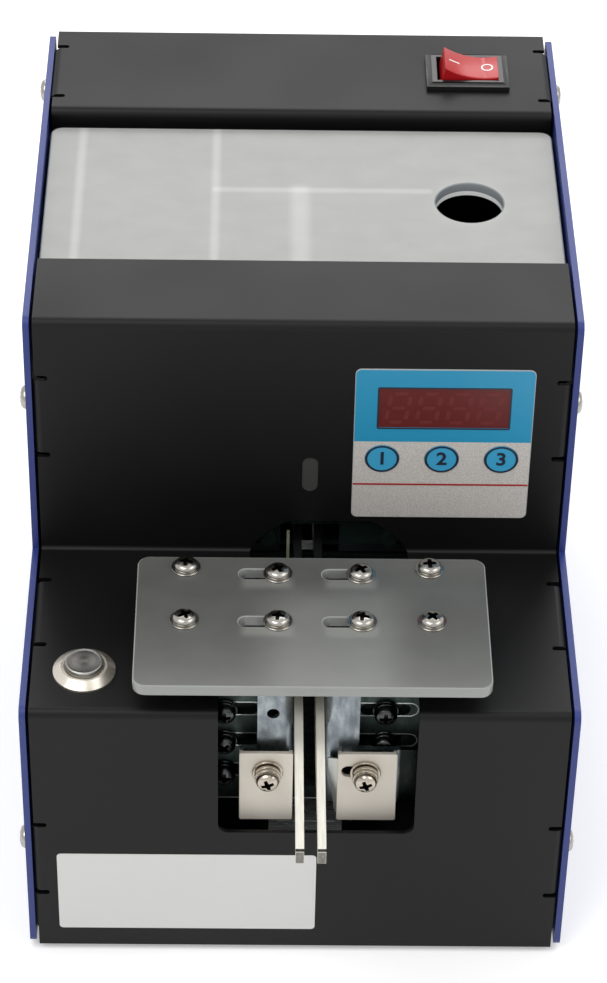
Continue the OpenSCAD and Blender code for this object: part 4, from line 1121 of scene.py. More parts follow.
    def digit(self, mesh: bmesh.types.BMesh, middle: Vector) -> None:
        """Draw one seven-segment digit.

        Args:
            mesh: The bmesh that it goes into.
            middle: The digit's middle.
        """
        w, h, s = self.digit_w / 2, self.digit_h / 2, self.stroke / 2
        level = [(0, -h), (0, 0), (0, h)]
        upright = [(-w, -h / 2), (w, -h / 2), (-w, h / 2), (w, h / 2)]
        for x, y in level:
            self.segment(mesh, middle, Vector((x, y)), Vector((w - s * 1.6, s)))
        for x, y in upright:
            self.segment(mesh, middle, Vector((x, y)), Vector((s, h / 2 - s * 1.6)))

    def segment(self, mesh: bmesh.types.BMesh, middle: Vector, place: Vector, half: Vector) -> None:
        """Draw one bar of a digit, slanted with it.

        Args:
            mesh: The bmesh that it goes into.
            middle: The digit's middle.
            place: The bar's middle in the digit.
            half: Half the bar's width and height.
        """
        before = set(mesh.verts)
        edge = outline_box(mesh, place - half, place + half, min(half) * 0.9, Corner.SMALL)
        faces = bmesh.ops.edgeloop_fill(mesh, edges=edge)["faces"]
        pushed = bmesh.ops.extrude_face_region(mesh, geom=faces)
        top = [g for g in pushed["geom"] if isinstance(g, bmesh.types.BMVert)]
        bmesh.ops.translate(mesh, verts=top, vec=(0, 0, 0.03 * MM))
        fresh = [v for v in mesh.verts if v not in before]
        shear = Matrix(((1, self.slant, 0, middle.x), (0, 1, 0, middle.y), (0, 0, 1, 0), (0, 0, 0, 1)))
        bmesh.ops.transform(mesh, matrix=shear, verts=fresh)


# ---- plates, screws and controls ----

def finish_sheet(mesh: bmesh.types.BMesh, name: str, face: Finish, edge: Finish, body: str,
                 node: str) -> None:
    """Finish a clear sheet whose edges are polished and whose faces are blasted.

    Args:
        mesh: The sheet, already in place and level.
        name: The piece's name.
        face: Finish of its faces.
        edge: Finish of its edges.
        body: The body that it rides on.
        node: The CAD node that it stands for.
    """
    for side in mesh.faces:
        side.normal_update()
        side.material_index = 0 if abs(side.normal.z) > 0.95 else 1
    finish_piece(mesh, name, face, body, (node,), second=edge)


def top_middles(node: str, count: int = 0) -> list[Vector]:
    """Find the middles of the separate solids of a node.

    Args:
        node: The CAD node.
        count: How many there should be; 0 takes any.

    Returns:
        The middle of each solid's box, sorted by x, then y, then z.
    """
    mesh = bmesh.new()
    mesh.from_mesh(frame["nodes"][node].data)
    bmesh.ops.remove_doubles(mesh, verts=mesh.verts, dist=1e-6)
    left = set(mesh.verts)
    middles = []
    while left:
        island, queue = set(), [left.pop()]
        while queue:
            vert = queue.pop()
            island.add(vert)
            fresh = {e.other_vert(vert) for e in vert.link_edges} - island
            queue += fresh & left
            left -= fresh
        low = [min(v.co[i] for v in island) for i in range(3)]
        high = [max(v.co[i] for v in island) for i in range(3)]
        middles.append(Vector([(a + b) / 2 for a, b in zip(low, high)]))
    mesh.free()
    middles.sort(key=lambda m: (round(m.x, 4), round(m.y, 4), round(m.z, 4)))
    if count and len(middles) != count:
        log.warning("%s has %d solids, not %d", node, len(middles), count)
    return middles


@dataclass
class Lid:
    """The loose frosted lid with its finger hole, and a white ring in the hole's wall as painted highlight.
    """

    radius: float = 3.0 * MM
    finger_r: float = 8.3 * MM
    rim_h: float = 1.15 * MM
    edge: float = 0.35 * MM

    def build(self) -> None:
        """Cut the lid."""
        low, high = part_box("lid")
        mesh = bmesh.new()
        outer = outline_box(mesh, low.to_2d(), high.to_2d(), self.radius)
        hole = outline_circle(mesh, FINGER, self.finger_r)
        cut_sheet(mesh, [outer, hole], high.z - low.z, self.edge, low.z)
        finish_sheet(mesh, "frosted_lid", LID_ACRYLIC, HOLE_WALL, "lid", "lid")
        # a white ring in the hole's wall: painted highlight
        mesh = bmesh.new()
        inner, outer = self.finger_r - 0.05 * MM, self.finger_r + 0.3 * MM
        lathe(mesh, [(outer, 0), (inner, 0), (inner, self.rim_h), (outer, self.rim_h), (outer, 0)], 64)
        move_all(mesh, Vector((FINGER.x, FINGER.y, low.z + 0.02 * MM)))
        finish_piece(mesh, "finger_hole_highlight", RIM_LIGHT, "lid")


@dataclass
class GuidePlate:
    """The frosted guide plate over the rails, its screws, and the two head guides under it."""

    radius: float = 3.0 * MM
    edge: float = 0.3 * MM
    hole_r: float = 1.7 * MM
    slot_r: float = 1.7 * MM
    travel: float = 7.5 * MM
    washer_r: float = 3.45 * MM
    washer_t: float = 0.4 * MM
    strip_w: float = 6.0 * MM
    strip_edge: float = 0.3 * MM
    screw: PanScrew = field(default_factory=lambda: PanScrew(2.8 * MM, 1.7 * MM, 7.0 * MM))

    def build(self) -> None:
        """Cut the plate and add what hangs on it."""
        self.low, self.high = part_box("guide_plate")
        self.fixed = [Vector((m.x, m.y, self.high.z)) for m in top_middles("guide_screws", 4)]
        self.sliding = {side: guide_screws(side) for side in ("left", "right")}
        self.plate()
        self.screws("guide_plate_screws", self.fixed, "housing", ("guide_screws",))
        for side, places in self.sliding.items():
            self.strip(side)
            self.screws(f"head_guide_screws_{side}", places, f"{side}_guide", ())

    def plate(self) -> None:
        """Cut the plate with its holes and slots."""
        mesh = bmesh.new()
        outlines = [outline_box(mesh, self.low.to_2d(), self.high.to_2d(), self.radius)]
        outlines += [outline_circle(mesh, m, self.hole_r, 32) for m in self.fixed]
        for places in self.sliding.values():
            for m in places:
                outlines.append(outline_slot(mesh, m - Vector((self.travel, 0, 0)), m, self.slot_r))
        cut_sheet(mesh, outlines, self.high.z - self.low.z, self.edge, self.low.z)
        finish_sheet(mesh, "frosted_guide_plate", GUIDE_ACRYLIC, POLISHED_EDGE, "housing",
                     "guide_plate")

    def screws(self, name: str, places: list[Vector], body: str, nodes: tuple[str, ...]) -> None:
        """Stand a row of screws with washers on the plate.

        Args:
            name: The piece's name.
            places: Where they stand.
            body: The body that they ride on.
            nodes: CAD nodes that they stand for.
        """
        mesh = bmesh.new()
        for i, place in enumerate(places):
            LockWasher(self.washer_r, 1.6 * MM, self.washer_t, False).build(mesh, Matrix.Translation(place))
            seat = place + Vector((0, 0, self.washer_t))
            self.screw.build(mesh, Matrix.Translation(seat) @ Matrix.Rotation(0.5 + i * 0.9, 4, "Z"))
        finish_piece(mesh, name, ZINC_SCREW, body, nodes, second=RECESS)

    def strip(self, side: str) -> None:
        """Mill one head guide's strip."""
        low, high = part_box(f"head_guide_{side}")
        top = self.low.z
        size = Vector((self.strip_w, high.y - low.y, top - low.z))
        mesh = bmesh.new()
        middle = Vector(((low.x + high.x) / 2, (low.y + high.y) / 2, (low.z + top) / 2))
        bmesh.ops.create_cube(mesh, size=1, matrix=block(middle, size))
        bmesh.ops.bevel(mesh, geom=mesh.edges, offset=self.strip_edge, affect="EDGES", segments=2,
                        profile=0.5, material=-1)
        finish_piece(mesh, f"head_guide_strip_{side}", GUIDE_PLASTIC, f"{side}_guide",
                     (f"head_guide_{side}",))


@dataclass
class CoverScrews:
    """The pan-head screws in the side plates."""

    screw: PanScrew = field(default_factory=PanScrew)

    def build(self) -> None:
        """Put a screw at each place."""
        mesh = bmesh.new()
        low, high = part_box("side_plate_left")[0].x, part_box("side_plate_right")[1].x
        for i, middle in enumerate(top_middles("cover_screws", 14)):
            side = -1 if middle.x < 0 else 1
            seat = Vector((low if side < 0 else high, middle.y, middle.z))
            place = Matrix.Translation(seat) @ Matrix.Rotation(side * math.pi / 2, 4, "Y")
            self.screw.build(mesh, place @ Matrix.Rotation(i * 0.7, 4, "Z"))
        finish_piece(mesh, "side_screws", ZINC_SCREW, "housing", ("cover_screws",),
                     second=RECESS)


def clamp_middle(side: str) -> Vector:
    """Find where a cap's screw stands: a little over the middle of its node.

    Args:
        side: left or right.

    Returns:
        The place.
    """
    low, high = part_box(f"clamp_screw_{side}")
    shift = Vector((0.5 * MM if side == "left" else -0.6 * MM, 0, 2.5 * MM))
    return (low + high) / 2 + shift


@dataclass
class RailClamps:
    """The screws and washers that hold the caps and the rail holders."""

    ring: float = 0.95 * MM
    rings: tuple[float, ...] = (3.65 * MM, 3.1 * MM, 3.0 * MM)
    cap_front: float = 5.0 * MM
    plate_front: float = 13.0 * MM
    clamp_screw: PanScrew = field(default_factory=lambda: PanScrew(2.75 * MM, 2.2 * MM, 7.0 * MM))
    slot_screw: PanScrew = field(default_factory=lambda: PanScrew(2.75 * MM, 2.2 * MM, 4.0 * MM))
    washer_step: float = 0.7 * MM

    def build(self) -> None:
        """Build the screws of both rails."""
        self.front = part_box("front_cover")[0].y
        for side in ("left", "right"):
            self.clamp(side)
            self.slots(side)

    def clamp(self, side: str) -> None:
        """Build the screw of one cap, with its washers."""
        mesh = bmesh.new()
        middle = clamp_middle(side)
        place = facing_front(Vector((middle.x, self.front + self.cap_front, middle.z)))
        for i, outer in enumerate(self.rings):
            washer = LockWasher(outer, 1.6 * MM, self.ring * 0.9, split=i > 0)
            washer.build(mesh, stacked(place, i * self.ring, 1.9 + i))
        self.clamp_screw.build(mesh, stacked(place, len(self.rings) * self.ring, 0.35))
        finish_piece(mesh, f"cap_screw_{side}", CAP_SCREW, f"{side}_rail",
                     (f"clamp_screw_{side}",), second=RECESS)

    def slots(self, side: str) -> None:
        """Build the screws in the slots of one rail holder."""
        mesh = bmesh.new()
        for i, middle in enumerate(top_middles(f"slot_screws_{side}", 3)):
            place = facing_front(Vector((middle.x, self.front + self.plate_front, middle.z)))
            for n in range(2):
                washer = LockWasher((3.1 - n * 0.3) * MM, 1.6 * MM, 0.65 * MM)
                washer.build(mesh, stacked(place, n * self.washer_step, i + 2 * n))
            self.slot_screw.build(mesh, stacked(place, 2 * self.washer_step, i * 0.8))
        finish_piece(mesh, f"holder_screws_{side}", BLACK_SCREW, f"{side}_rail",
                     (f"slot_screws_{side}",), second=EDGE_AND_RECESS_SHADE)


@dataclass
class ClampCaps:
    """The nickel-plated caps over the rail holders, and the bright ends of the rails."""

    sheet: float = 1.0 * MM
    corner: float = 0.5 * MM
    soft: float = 0.18 * MM
    slot_l: float = 3.9 * MM
    rise: float = 0.35 * MM
    wing_w: float = 2.3 * MM

    def build(self) -> None:
        """Fold both caps."""
        for side in ("left", "right"):
            self.cap(side)
            self.rail_end(side)
        self.wing()

    def cap(self, side: str) -> None:
        """Fold one cap: its face and its two sides.

        Args:
            side: left or right.
        """
        low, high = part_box(f"clamp_cap_{side}")
        middle = clamp_middle(side)
        start = Vector((middle.x, middle.z))
        reach = Vector((self.slot_l, 0)) if side == "right" else Vector((0, 0))
        mesh = bmesh.new()
        top = Vector((high.x, high.z + self.rise))
        face = outline_box(mesh, Vector((low.x, low.z)), top, self.corner, Corner.SMALL)
        slot = outline_slot(mesh, start - reach, start + Vector((0.01 * MM, 0)), 1.75 * MM)
        cut_sheet(mesh, [face, slot], self.sheet, self.soft)
        bmesh.ops.transform(mesh, matrix=facing_front(Vector((0, low.y + self.sheet, 0))), verts=mesh.verts)
        depth, tall = high.y - low.y, high.z - low.z
        y, z = low.y + depth / 2 + self.sheet / 4, (low.z + high.z) / 2 - self.corner
        size = Vector((self.sheet * 0.9, depth - self.sheet / 2, tall - self.corner * 3))
        for x in (low.x + self.sheet / 2, high.x - self.sheet / 2):
            self.fold(mesh, Vector((x, y, z)), size)
        finish_piece(mesh, f"nickel_cap_{side}", NICKEL, f"{side}_rail",
                     (f"clamp_cap_{side}",))

    def fold(self, mesh: bmesh.types.BMesh, middle: Vector, size: Vector) -> None:
        """Add one folded side with soft edges.

        Args:
            mesh: The bmesh that it goes into.
            middle: The side's middle.
            size: Its size.
        """
        made = bmesh.ops.create_cube(mesh, size=1, matrix=block(middle, size))
        edges = list({e for v in made["verts"] for e in v.link_edges})
        bmesh.ops.bevel(mesh, geom=edges, offset=self.soft, affect="EDGES", segments=2, profile=0.5,
                        material=-1)

    def wing(self) -> None:
        """Bend the right cap's rail-side flange outwards, wide at its top and narrow at its foot."""
        low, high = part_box("clamp_cap_right")
        root_x, root_y = low.x + 0.3 * MM, low.y + 0.8 * MM
        tip, back = low.x - self.wing_w, low.y + 1.6 * MM
        outline = [(root_x, root_y, low.z + 0.8 * MM), (low.x - 0.5 * MM, back, low.z + 1.6 * MM),
                   (tip, back, high.z - 6.0 * MM), (tip, back, high.z - 2.4 * MM),
                   (root_x, root_y, high.z - 2.0 * MM)]
        mesh = bmesh.new()
        face = mesh.faces.new([mesh.verts.new(p) for p in outline])
        pushed = bmesh.ops.extrude_face_region(mesh, geom=[face])
        moved = [g for g in pushed["geom"] if isinstance(g, bmesh.types.BMVert)]
        bmesh.ops.translate(mesh, verts=moved, vec=(0, 0.5 * MM, 0))
        bmesh.ops.bevel(mesh, geom=mesh.edges[:], offset=0.15 * MM, affect="EDGES", segments=2, profile=0.5,
                        material=-1)
        finish_piece(mesh, "nickel_cap_wing", BENT_NICKEL, "right_rail")

    def rail_end(self, side: str) -> None:
        """Face a rail's tip, and lay a dark strip of painted shade along its upper edge.

        Args:
            side: left or right.
        """
        low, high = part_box(f"rail_{side}")
        foot = high.z - 4.0 * MM
        mesh = bmesh.new()
        corners = Vector((low.x + 0.1 * MM, foot + 0.1 * MM)), Vector((high.x - 0.1 * MM, high.z - 0.6 * MM))
        edge = outline_box(mesh, *corners, 0.15 * MM, Corner.SMALL)
        cut_sheet(mesh, [edge], 0.05 * MM)
        bmesh.ops.transform(mesh, matrix=facing_front(Vector((0, low.y, 0))), verts=mesh.verts)
        finish_piece(mesh, f"rail_end_{side}", SAWN_STEEL, f"{side}_rail")
        # a thin dark strip along the rail's upper front edge: painted shade on its chamfer
        mesh = bmesh.new()
        middle = Vector(((low.x + high.x) / 2, low.y + 0.32 * MM, high.z - 0.2 * MM))
        turn = Matrix.Translation(middle) @ Matrix.Rotation(math.pi / 4, 4, "X")
        size = Matrix.Diagonal((high.x - low.x + 0.02 * MM, 0.62 * MM, 0.08 * MM, 1))
        bmesh.ops.create_cube(mesh, size=1, matrix=turn @ size)
        finish_piece(mesh, f"rail_end_shade_line_{side}", EDGE_AND_RECESS_SHADE, f"{side}_rail")


@dataclass
class CarrierRims:
    """Painted highlights along the carrier plate's slots and lower edges, and the bright edge of the clear
    sheet behind the arch.
    """

    slots_z: tuple[float, ...] = (69.7 * MM, 59.7 * MM, 49.7 * MM)
    left: tuple[float, float] = (-22.55 * MM, -10.4 * MM)
    right: tuple[float, float] = (14.3 * MM, 26.05 * MM)
    slot_r: float = 1.9 * MM
    rim: float = 0.3 * MM
    proud: float = 0.06 * MM
    plate_h: float = 38.5 * MM
    plate_front: float = 13.0 * MM
    lug: tuple[float, float] = (-5.0 * MM, 9.0 * MM)
    inset: float = 0.5 * MM

    def build(self) -> None:
        """Build the rims."""
        low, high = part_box("rail_carrier")
        self.front = facing_front(Vector((0, LOWER_FACE + self.plate_front, 0)))
        for side, ends in (("left", self.left), ("right", self.right)):
            # a thin bright ring round each slot: painted highlight
            for i, z in enumerate(self.slots_z):
                mesh = bmesh.new()
                start, end = Vector((ends[0], z)), Vector((ends[1], z))
                outer = outline_slot(mesh, start, end, self.slot_r + self.rim)
                inner = outline_slot(mesh, start, end, self.slot_r)
                cut_sheet(mesh, [outer, inner], self.proud)
                bmesh.ops.transform(mesh, matrix=self.front, verts=mesh.verts)
                finish_piece(mesh, f"slot_rim_highlight_{side}_{i + 1}", SLOT_HIGHLIGHT, "housing")
        foot = high.z - self.plate_h
        self.edge("carrier_foot_highlight", low.x + self.inset, high.x - self.inset, foot)
        self.edge("spring_lug_highlight", *self.lug, low.z)
        self.guard_edge()

    def guard_edge(self) -> None:
        """Stand the bright edge of the clear guard sheet behind the arch, beside the rails."""
        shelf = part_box("guide_spacers")[0].z
        size = Vector((0.7, 0.7, 11.0)) * MM
        middle = Vector((-2.7 * MM, UPPER_FACE + 4 * MM, shelf - 5 * MM + size.z / 2))
        mesh = bmesh.new()
        bmesh.ops.create_cube(mesh, size=1, matrix=block(middle, size))
        finish_piece(mesh, "guard_sheet_edge", GUARD_EDGE, "housing")

    def edge(self, name: str, left: float, right: float, foot: float) -> None:
        """Draw one straight painted highlight along an edge on the plate's front.

        Args:
            name: The piece's name.
            left: Its left end.
            right: Its right end.
            foot: Its lower side.
        """
        mesh = bmesh.new()
        outline = outline_box(mesh, Vector((left, foot)), Vector((right, foot + self.rim)), 0)
        cut_sheet(mesh, [outline], self.proud)
        bmesh.ops.transform(mesh, matrix=self.front, verts=mesh.verts)
        finish_piece(mesh, name, EDGE_HIGHLIGHT, "housing")


@dataclass
class LidSeals:
    """Foam strips on the walls under the lid, seen faintly through its frosting."""

    strip_w: float = 1.4 * MM
    strip_h: float = 0.8 * MM
    gap: float = 0.15 * MM
    walls: tuple[float, ...] = (-54.4 * MM, -21.8 * MM)
    cross_y: float = 115.6 * MM
    cross: tuple[float, float] = (-21.0 * MM, 31.5 * MM)

    def build(self) -> None:
        """Lay the strips."""
        low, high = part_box("lid")
        top = low.z - self.gap
        mesh = bmesh.new()
        for x in self.walls:
            self.strip(mesh, Vector((x, low.y + 4 * MM)), Vector((x, high.y - 3 * MM)), top)
        y = self.cross_y + LOWER_FACE
        self.strip(mesh, Vector((self.cross[0], y)), Vector((self.cross[1], y)), top)
        finish_piece(mesh, "lid_seals", FOAM, "housing")

    def strip(self, mesh: bmesh.types.BMesh, start: Vector, end: Vector, top: float) -> None:
        """Lay one strip with soft edges between two points.

        Args:
            mesh: The bmesh that it goes into.
            start: Its first end.
            end: Its second end.
            top: Height of its top.
        """
        half = Vector((self.strip_w, self.strip_w)) / 2
        before = set(mesh.verts)
        edge = outline_box(mesh, start - half, end + half, 0.3 * MM, Corner.SMALL)
        faces = bmesh.ops.edgeloop_fill(mesh, edges=edge)["faces"]
        pushed = bmesh.ops.extrude_face_region(mesh, geom=faces)
        upper = [g for g in pushed["geom"] if isinstance(g, bmesh.types.BMVert)]
        bmesh.ops.translate(mesh, verts=upper, vec=(0, 0, self.strip_h))
        fresh = [v for v in mesh.verts if v not in before]
        bmesh.ops.translate(mesh, verts=fresh, vec=(0, 0, top - self.strip_h))


@dataclass
class PushButton:
    """The metal push button: a turned ring and a cap with a spun top."""

    flange_r: float = 7.35 * MM
    flange_t: float = 2.0 * MM
    bore_r: float = 4.56 * MM
    cap_r: float = 4.5 * MM

    def build(self) -> None:
        """Turn the ring and the cap."""
        low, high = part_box("button_housing")
        seat = Vector(((low.x + high.x) / 2, (low.y + high.y) / 2, high.z - self.flange_t))
        mesh = bmesh.new()
        r, t, b = self.flange_r, self.flange_t, self.bore_r
        depth = seat.z - low.z
        lathe(mesh, [(b, -5.0 * MM), (b, t - 0.25 * MM), (b + 0.3 * MM, t), (r - 1.9 * MM, t),
                     (r - 0.25 * MM, 0.75 * MM), (r, 0.55 * MM), (r, 0.0), (6.0 * MM, 0.0),
                     (6.0 * MM, -depth), (0.0, -depth)], 64)
        lathe(mesh, [(b, -5.0 * MM), (0.0, -5.0 * MM)], 64)
        bmesh.ops.remove_doubles(mesh, verts=mesh.verts, dist=1e-6)
        move_all(mesh, seat)
        finish_piece(mesh, "button_ring", CHROME, "housing", ("button_housing",), 30)
        low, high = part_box("button_cap")
        mesh = bmesh.new()
        r, top, foot = self.cap_r, high.z - seat.z, low.z - seat.z
        lathe(mesh, [(0.0, foot), (r, foot), (r, top - 0.45 * MM), (r - 0.12 * MM, top - 0.15 * MM),
                     (r - 0.4 * MM, top), (r - 0.9 * MM, top - 0.06 * MM), (0.0, top - 0.06 * MM)], 64)
        move_all(mesh, seat)
        spun = SpunMetal("spun_button_steel", "#9d9b96", 0.32, centre=(seat.x, seat.y, 0.0))
        finish_piece(mesh, "button_top", spun, "button", ("button_cap",), 30)


@dataclass
class PowerSwitch:
    """The rocker switch: a bezel with a sloping rim, the red rocker and its marks."""

    slope: float = 1.3 * MM
    rise: float = 0.7 * MM
    soft: float = 0.12 * MM
    bezel_t: float = 2.0 * MM
    half_w: float = 5.4 * MM
    half_l: float = 7.7 * MM
    case_in: float = 1.2 * MM
    case_h: float = 14.0 * MM
    pivot_drop: float = 1.2 * MM
    tilt: float = 11.0
    hollow_r: float = 18.2 * MM
    hollow_z: float = 21.4 * MM
    mark_x: float = 4.3 * MM
    rocker_l: float = 14.0 * MM
    rocker_w: float = 10.0 * MM
    lift: float = 0.7 * MM
    draft: float = 0.15 * MM
    root_h: float = 4.2 * MM

    def build(self) -> None:
        """Build the rim and the marks."""
        low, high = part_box("switch_housing")
        self.middle = Vector(((low.x + high.x) / 2, (low.y + high.y) / 2, high.z - self.bezel_t))
        self.half = Vector(((high.x - low.x) / 2, (high.y - low.y) / 2))
        self.bezel()
        self.rocker()
        self.marks()

    def bezel(self) -> None:
        """Mould the bezel, the case behind it and its two terminals."""
        well = Vector((self.half_l, self.half_w))
        mesh = bmesh.new()
        cut_sheet(mesh, [outline_box(mesh, -self.half, self.half, 0), outline_box(mesh, -well, well, 0)],
                  self.bezel_t)
        self.slope_rim(mesh)
        sharp = [e for e in mesh.edges if e.calc_face_angle(0) > 0.3]
        bmesh.ops.bevel(mesh, geom=sharp, offset=self.soft, affect="EDGES", segments=2, profile=0.5,
                        material=-1)
        case = self.half - Vector((self.case_in, self.case_in))
        cut_sheet(mesh, [outline_box(mesh, -case, case, 0), outline_box(mesh, -well, well, 0)], self.case_h,
                  base=-self.case_h)
        cut_sheet(mesh, [outline_box(mesh, -case, case, 0)], 0.5 * MM, base=-self.case_h)
        for x in (-6.0 * MM, 0.0):
            terminal = block(Vector((x, 0, -17.5 * MM)), Vector((0.8, 4.8, 7.0)) * MM)
            bmesh.ops.create_cube(mesh, size=1, matrix=terminal)
        move_all(mesh, self.middle)
        finish_piece(mesh, "switch_bezel", NYLON_BLACK, "housing", ("switch_housing",), 30)

    def slope_rim(self, mesh: bmesh.types.BMesh) -> None:
        """Slope the bezel's outer edge from its rise up to its top.

        Args:
            mesh: The bezel's sheet.
        """
        cut = bmesh.ops.inset_region(mesh, faces=[f for f in mesh.faces if f.normal.z > 0.9],
                                     thickness=self.slope, use_boundary=True, use_even_offset=True)
        log.info("bezel: %d faces in its slope", len(cut["faces"]))
        for vert in mesh.verts:
            outside = max(abs(vert.co.x) - self.half.x, abs(vert.co.y) - self.half.y)
            if vert.co.z > self.rise and outside > -1e-6:
                vert.co.z = self.bezel_t - self.rise

    def tilted(self) -> Matrix:
        """Give the place of the rocker's own axes, tilted as it rests."""
        pivot = Matrix.Translation(self.middle - Vector((0, 0, self.pivot_drop)))
        return pivot @ Matrix.Rotation(math.radians(self.tilt), 4, "Y")

    def surface(self, x: float) -> float:
        """Give the height of the rocker's hollow top over its pivot."""
        return self.hollow_z + self.lift - math.sqrt(self.hollow_r ** 2 - x ** 2)

    def rocker(self) -> None:
        """Mould the rocker, its two wings rising from the hollow between them."""
        half, wide = self.rocker_l / 2, self.rocker_w / 2
        side, foot, root = half + self.draft, half * 0.55, -self.root_h
        steps = 14
        xs = [half * (2 * i / steps - 1) for i in range(steps + 1)]
        outline = [Vector((x, self.surface(x))) for x in xs]
        outline += [Vector((side, 0)), Vector((foot, root)), Vector((-foot, root)), Vector((-side, 0))]
        mesh = bmesh.new()
        face = mesh.faces.new([mesh.verts.new((p.x, -wide, p.y)) for p in outline])
        pushed = bmesh.ops.extrude_face_region(mesh, geom=[face])
        back = [g for g in pushed["geom"] if isinstance(g, bmesh.types.BMVert)]
        bmesh.ops.translate(mesh, verts=back, vec=(0, 2 * wide, 0))
        bmesh.ops.recalc_face_normals(mesh, faces=mesh.faces)
        sharp = [e for e in mesh.edges if e.calc_face_angle(0) > 0.6]
        bmesh.ops.bevel(mesh, geom=sharp, offset=0.3 * MM, affect="EDGES", segments=3, profile=0.5,
                        material=-1)
        bmesh.ops.transform(mesh, matrix=self.tilted(), verts=mesh.verts)
        finish_piece(mesh, "red_rocker", ROCKER_RED, "rocker", ("switch_rocker",), 30)

    def marks(self) -> None:
        """Print the I and the O on the rocker's wings."""
        for text, side in (("I", -1), ("O", 1)):
            x = side * self.mark_x
            lean = Matrix.Rotation(-math.asin(x / self.hollow_r), 4, "Y")
            place = self.tilted() @ Matrix.Translation((x, 0, self.surface(x) + 0.03 * MM)) @ lean
            mesh = bmesh.new()
            if text == "I":
                reach = Vector((1.5, 0.22)) * MM
                edge = outline_box(mesh, -reach, reach, 0.1 * MM, Corner.SMALL)
                cut_sheet(mesh, [edge], 0.06 * MM)
            else:
                edges = [outline_circle(mesh, Vector((0, 0)), r * MM) for r in (1.55, 1.15)]
                cut_sheet(mesh, edges, 0.06 * MM)
            bmesh.ops.transform(mesh, matrix=place, verts=mesh.verts)
            finish_piece(mesh, f"rocker_mark_{text.lower()}", WHITE_INK, "rocker")


@dataclass
class BrushRoller:
    """The roller's hub and its rows of nylon tufts."""

    core_r: float = 5.0 * MM
    brush_r: float = 10.5 * MM
    shaft_r: float = 2.5 * MM
    rows: int = 14
    tufts: int = 14
    tuft_r: float = 0.75 * MM

    def build(self) -> None:
        """Turn the hub and plant the tufts."""
        low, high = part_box("brush_roller")
        middle = (low + high) / 2
        length = high.x - low.x
        turn = Matrix.Translation(Vector((low.x, middle.y, middle.z))) @ Matrix.Rotation(math.pi / 2, 4, "Y")
        mesh = bmesh.new()
        edge, core, bore = 0.4 * MM, self.core_r, self.shaft_r
        lathe(mesh, [(bore, 0), (core - edge, 0), (core, edge), (core, length - edge), (core - edge, length),
                     (bore, length), (bore, 0)], 40)
        reach = self.brush_r - self.core_r + 0.5 * MM
        for row in range(self.rows):
            for tuft in range(self.tufts):
                along = (tuft + 0.5 + 0.25 * (row % 2)) / (self.tufts + 0.25) * length
                place = Matrix.Rotation(math.tau * row / self.rows, 4, "Z") @ Matrix.Translation(
                    (self.core_r - 0.5 * MM + reach / 2, 0, along)) @ Matrix.Rotation(math.pi / 2, 4, "Y")
                bmesh.ops.create_cone(mesh, cap_ends=True, segments=6, radius1=self.tuft_r * 0.6,
                                      radius2=self.tuft_r, depth=reach, matrix=place)
        bmesh.ops.transform(mesh, matrix=turn, verts=mesh.verts)
        finish_piece(mesh, "brush_tufts", BRISTLE, "brush", ("brush_roller",))


# ---- studio ----

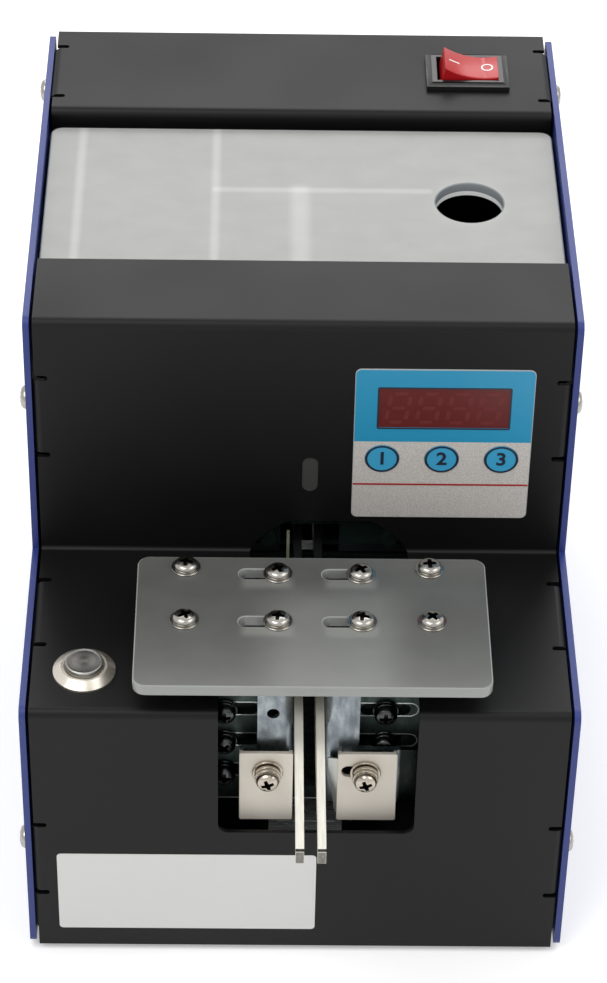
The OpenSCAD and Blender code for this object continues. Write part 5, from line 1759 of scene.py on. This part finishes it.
@dataclass
class Studio:
    """Floor, lamps, white surroundings and camera."""

    lens: float = 120.55
    sensor: float = 36.0
    place: Vector = field(default_factory=lambda: Vector((-11.06, -549.6, 605.67)) * MM)
    yaw: float = 1.115
    pitch: float = 39.83
    roll: float = 1.226
    floor_size: float = 6.0
    floor_glow: float = 0.3

    def build(self) -> None:
        """Set up the floor, the light and the camera."""
        self.floor()
        self.world()
        self.lamp("key_light", Vector((-0.55, -0.55, 1.25)), 0.9, 9.0)
        self.lamp("fill_light", Vector((0.85, -0.35, 0.95)), 0.8, 4.0)
        self.lamp("rear_light", Vector((0.1, 0.85, 1.0)), 0.9, 7.0)
        self.camera()
        bpy.context.scene.view_settings.view_transform = "Standard"

    def camera(self) -> None:
        """Place the camera."""
        yaw, pitch, roll = (math.radians(a) for a in (self.yaw, self.pitch, self.roll))
        ahead = Vector((math.sin(yaw) * math.cos(pitch), math.cos(yaw) * math.cos(pitch), -math.sin(pitch)))
        level = Vector((math.cos(yaw), -math.sin(yaw), 0))
        above = level.cross(ahead)
        right = math.cos(roll) * level + math.sin(roll) * above
        up = -math.sin(roll) * level + math.cos(roll) * above
        data = bpy.data.cameras.new("camera")
        data.lens = self.lens
        data.sensor_width = self.sensor
        data.clip_start = 0.01
        camera = bpy.data.objects.new("camera", data)
        turn = Matrix((right, up, -ahead)).transposed().to_4x4()
        front = Vector((0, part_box("front_cover")[0].y, 0))
        camera.matrix_world = Matrix.Translation(self.place + front) @ turn
        bpy.context.scene.collection.objects.link(camera)
        bpy.context.scene.camera = camera

    def lamp(self, name: str, place: Vector, size: float, power: float) -> None:
        """Add a soft square lamp that looks at the feeder.

        Args:
            name: The lamp's name.
            place: Its place.
            size: Length of its sides.
            power: Its power in watts.
        """
        data = bpy.data.lights.new(name, "AREA")
        data.size = size
        data.energy = power
        lamp = bpy.data.objects.new(name, data)
        target = (CAD_BOX[0] + CAD_BOX[1]) / 2
        aim = (target - place).to_track_quat("-Z", "Y").to_matrix().to_4x4()
        lamp.matrix_world = Matrix.Translation(place) @ aim
        bpy.context.scene.collection.objects.link(lamp)

    def seen(self, tree: bpy.types.NodeTree) -> bpy.types.NodeSocket:
        """Tell whether a ray comes from the camera, a reflection or through a clear piece.

        Args:
            tree: The node tree.

        Returns:
            1 for such a ray and 0 for any other.
        """
        ray = add_node(tree, "ShaderNodeLightPath")
        kinds = ("Camera", "Glossy", "Transmission")
        camera, glossy, through = (ray.outputs[f"Is {kind} Ray"] for kind in kinds)
        shiny = add_node(tree, "ShaderNodeMath", links={0: camera, 1: glossy}, operation="MAXIMUM")
        every = add_node(tree, "ShaderNodeMath", links={0: shiny.outputs[0], 1: through}, operation="MAXIMUM")
        return every.outputs[0]

    def floor(self) -> None:
        """Add the pale floor under the feet."""
        mesh = bmesh.new()
        bmesh.ops.create_grid(mesh, x_segments=1, y_segments=1, size=self.floor_size)
        data = bpy.data.meshes.new("floor")
        mesh.to_mesh(data)
        mesh.free()
        paper = bpy.data.materials.new("floor_paper")
        paper.use_nodes = True
        tree = paper.node_tree
        tree.nodes.clear()
        matt = add_node(tree, "ShaderNodeBsdfDiffuse", {"Color": linear("#f6f6f6")})
        glow = add_node(tree, "ShaderNodeEmission", {"Strength": self.floor_glow})
        both = add_node(tree, "ShaderNodeAddShader", links={0: matt.outputs[0], 1: glow.outputs[0]})
        mix = add_node(tree, "ShaderNodeMixShader",
                       links={0: self.seen(tree), 1: matt.outputs[0], 2: both.outputs[0]})
        add_node(tree, "ShaderNodeOutputMaterial", links={"Surface": mix.outputs[0]})
        data.materials.append(paper)
        floor = bpy.data.objects.new("floor", data)
        bpy.context.scene.collection.objects.link(floor)

    def world(self) -> None:
        """Light softly from all round, and show white behind the feeder."""
        world = bpy.data.worlds.new("surroundings")
        world.use_nodes = True
        tree = world.node_tree
        tree.nodes.clear()
        soft = add_node(tree, "ShaderNodeBackground", {"Color": linear("#ffffff"), "Strength": 0.45})
        white = add_node(tree, "ShaderNodeBackground", {"Color": linear("#ffffff"), "Strength": 1.0})
        mix = add_node(tree, "ShaderNodeMixShader",
                       links={0: self.seen(tree), 1: soft.outputs[0], 2: white.outputs[0]})
        add_node(tree, "ShaderNodeOutputWorld", links={0: mix.outputs[0]})
        bpy.context.scene.world = world


def main() -> None:
    """Dress the feeder and set up the studio."""
    logging.basicConfig(level=logging.INFO, format="%(name)s: %(message)s")
    Dresser().dress()
    Label().build()
    DisplayFace().build()
    Lid().build()
    GuidePlate().build()
    CoverScrews().build()
    RailClamps().build()
    ClampCaps().build()
    CarrierRims().build()
    LidSeals().build()
    PushButton().build()
    PowerSwitch().build()
    BrushRoller().build()
    Studio().build()


if __name__ == "__main__":
    main()
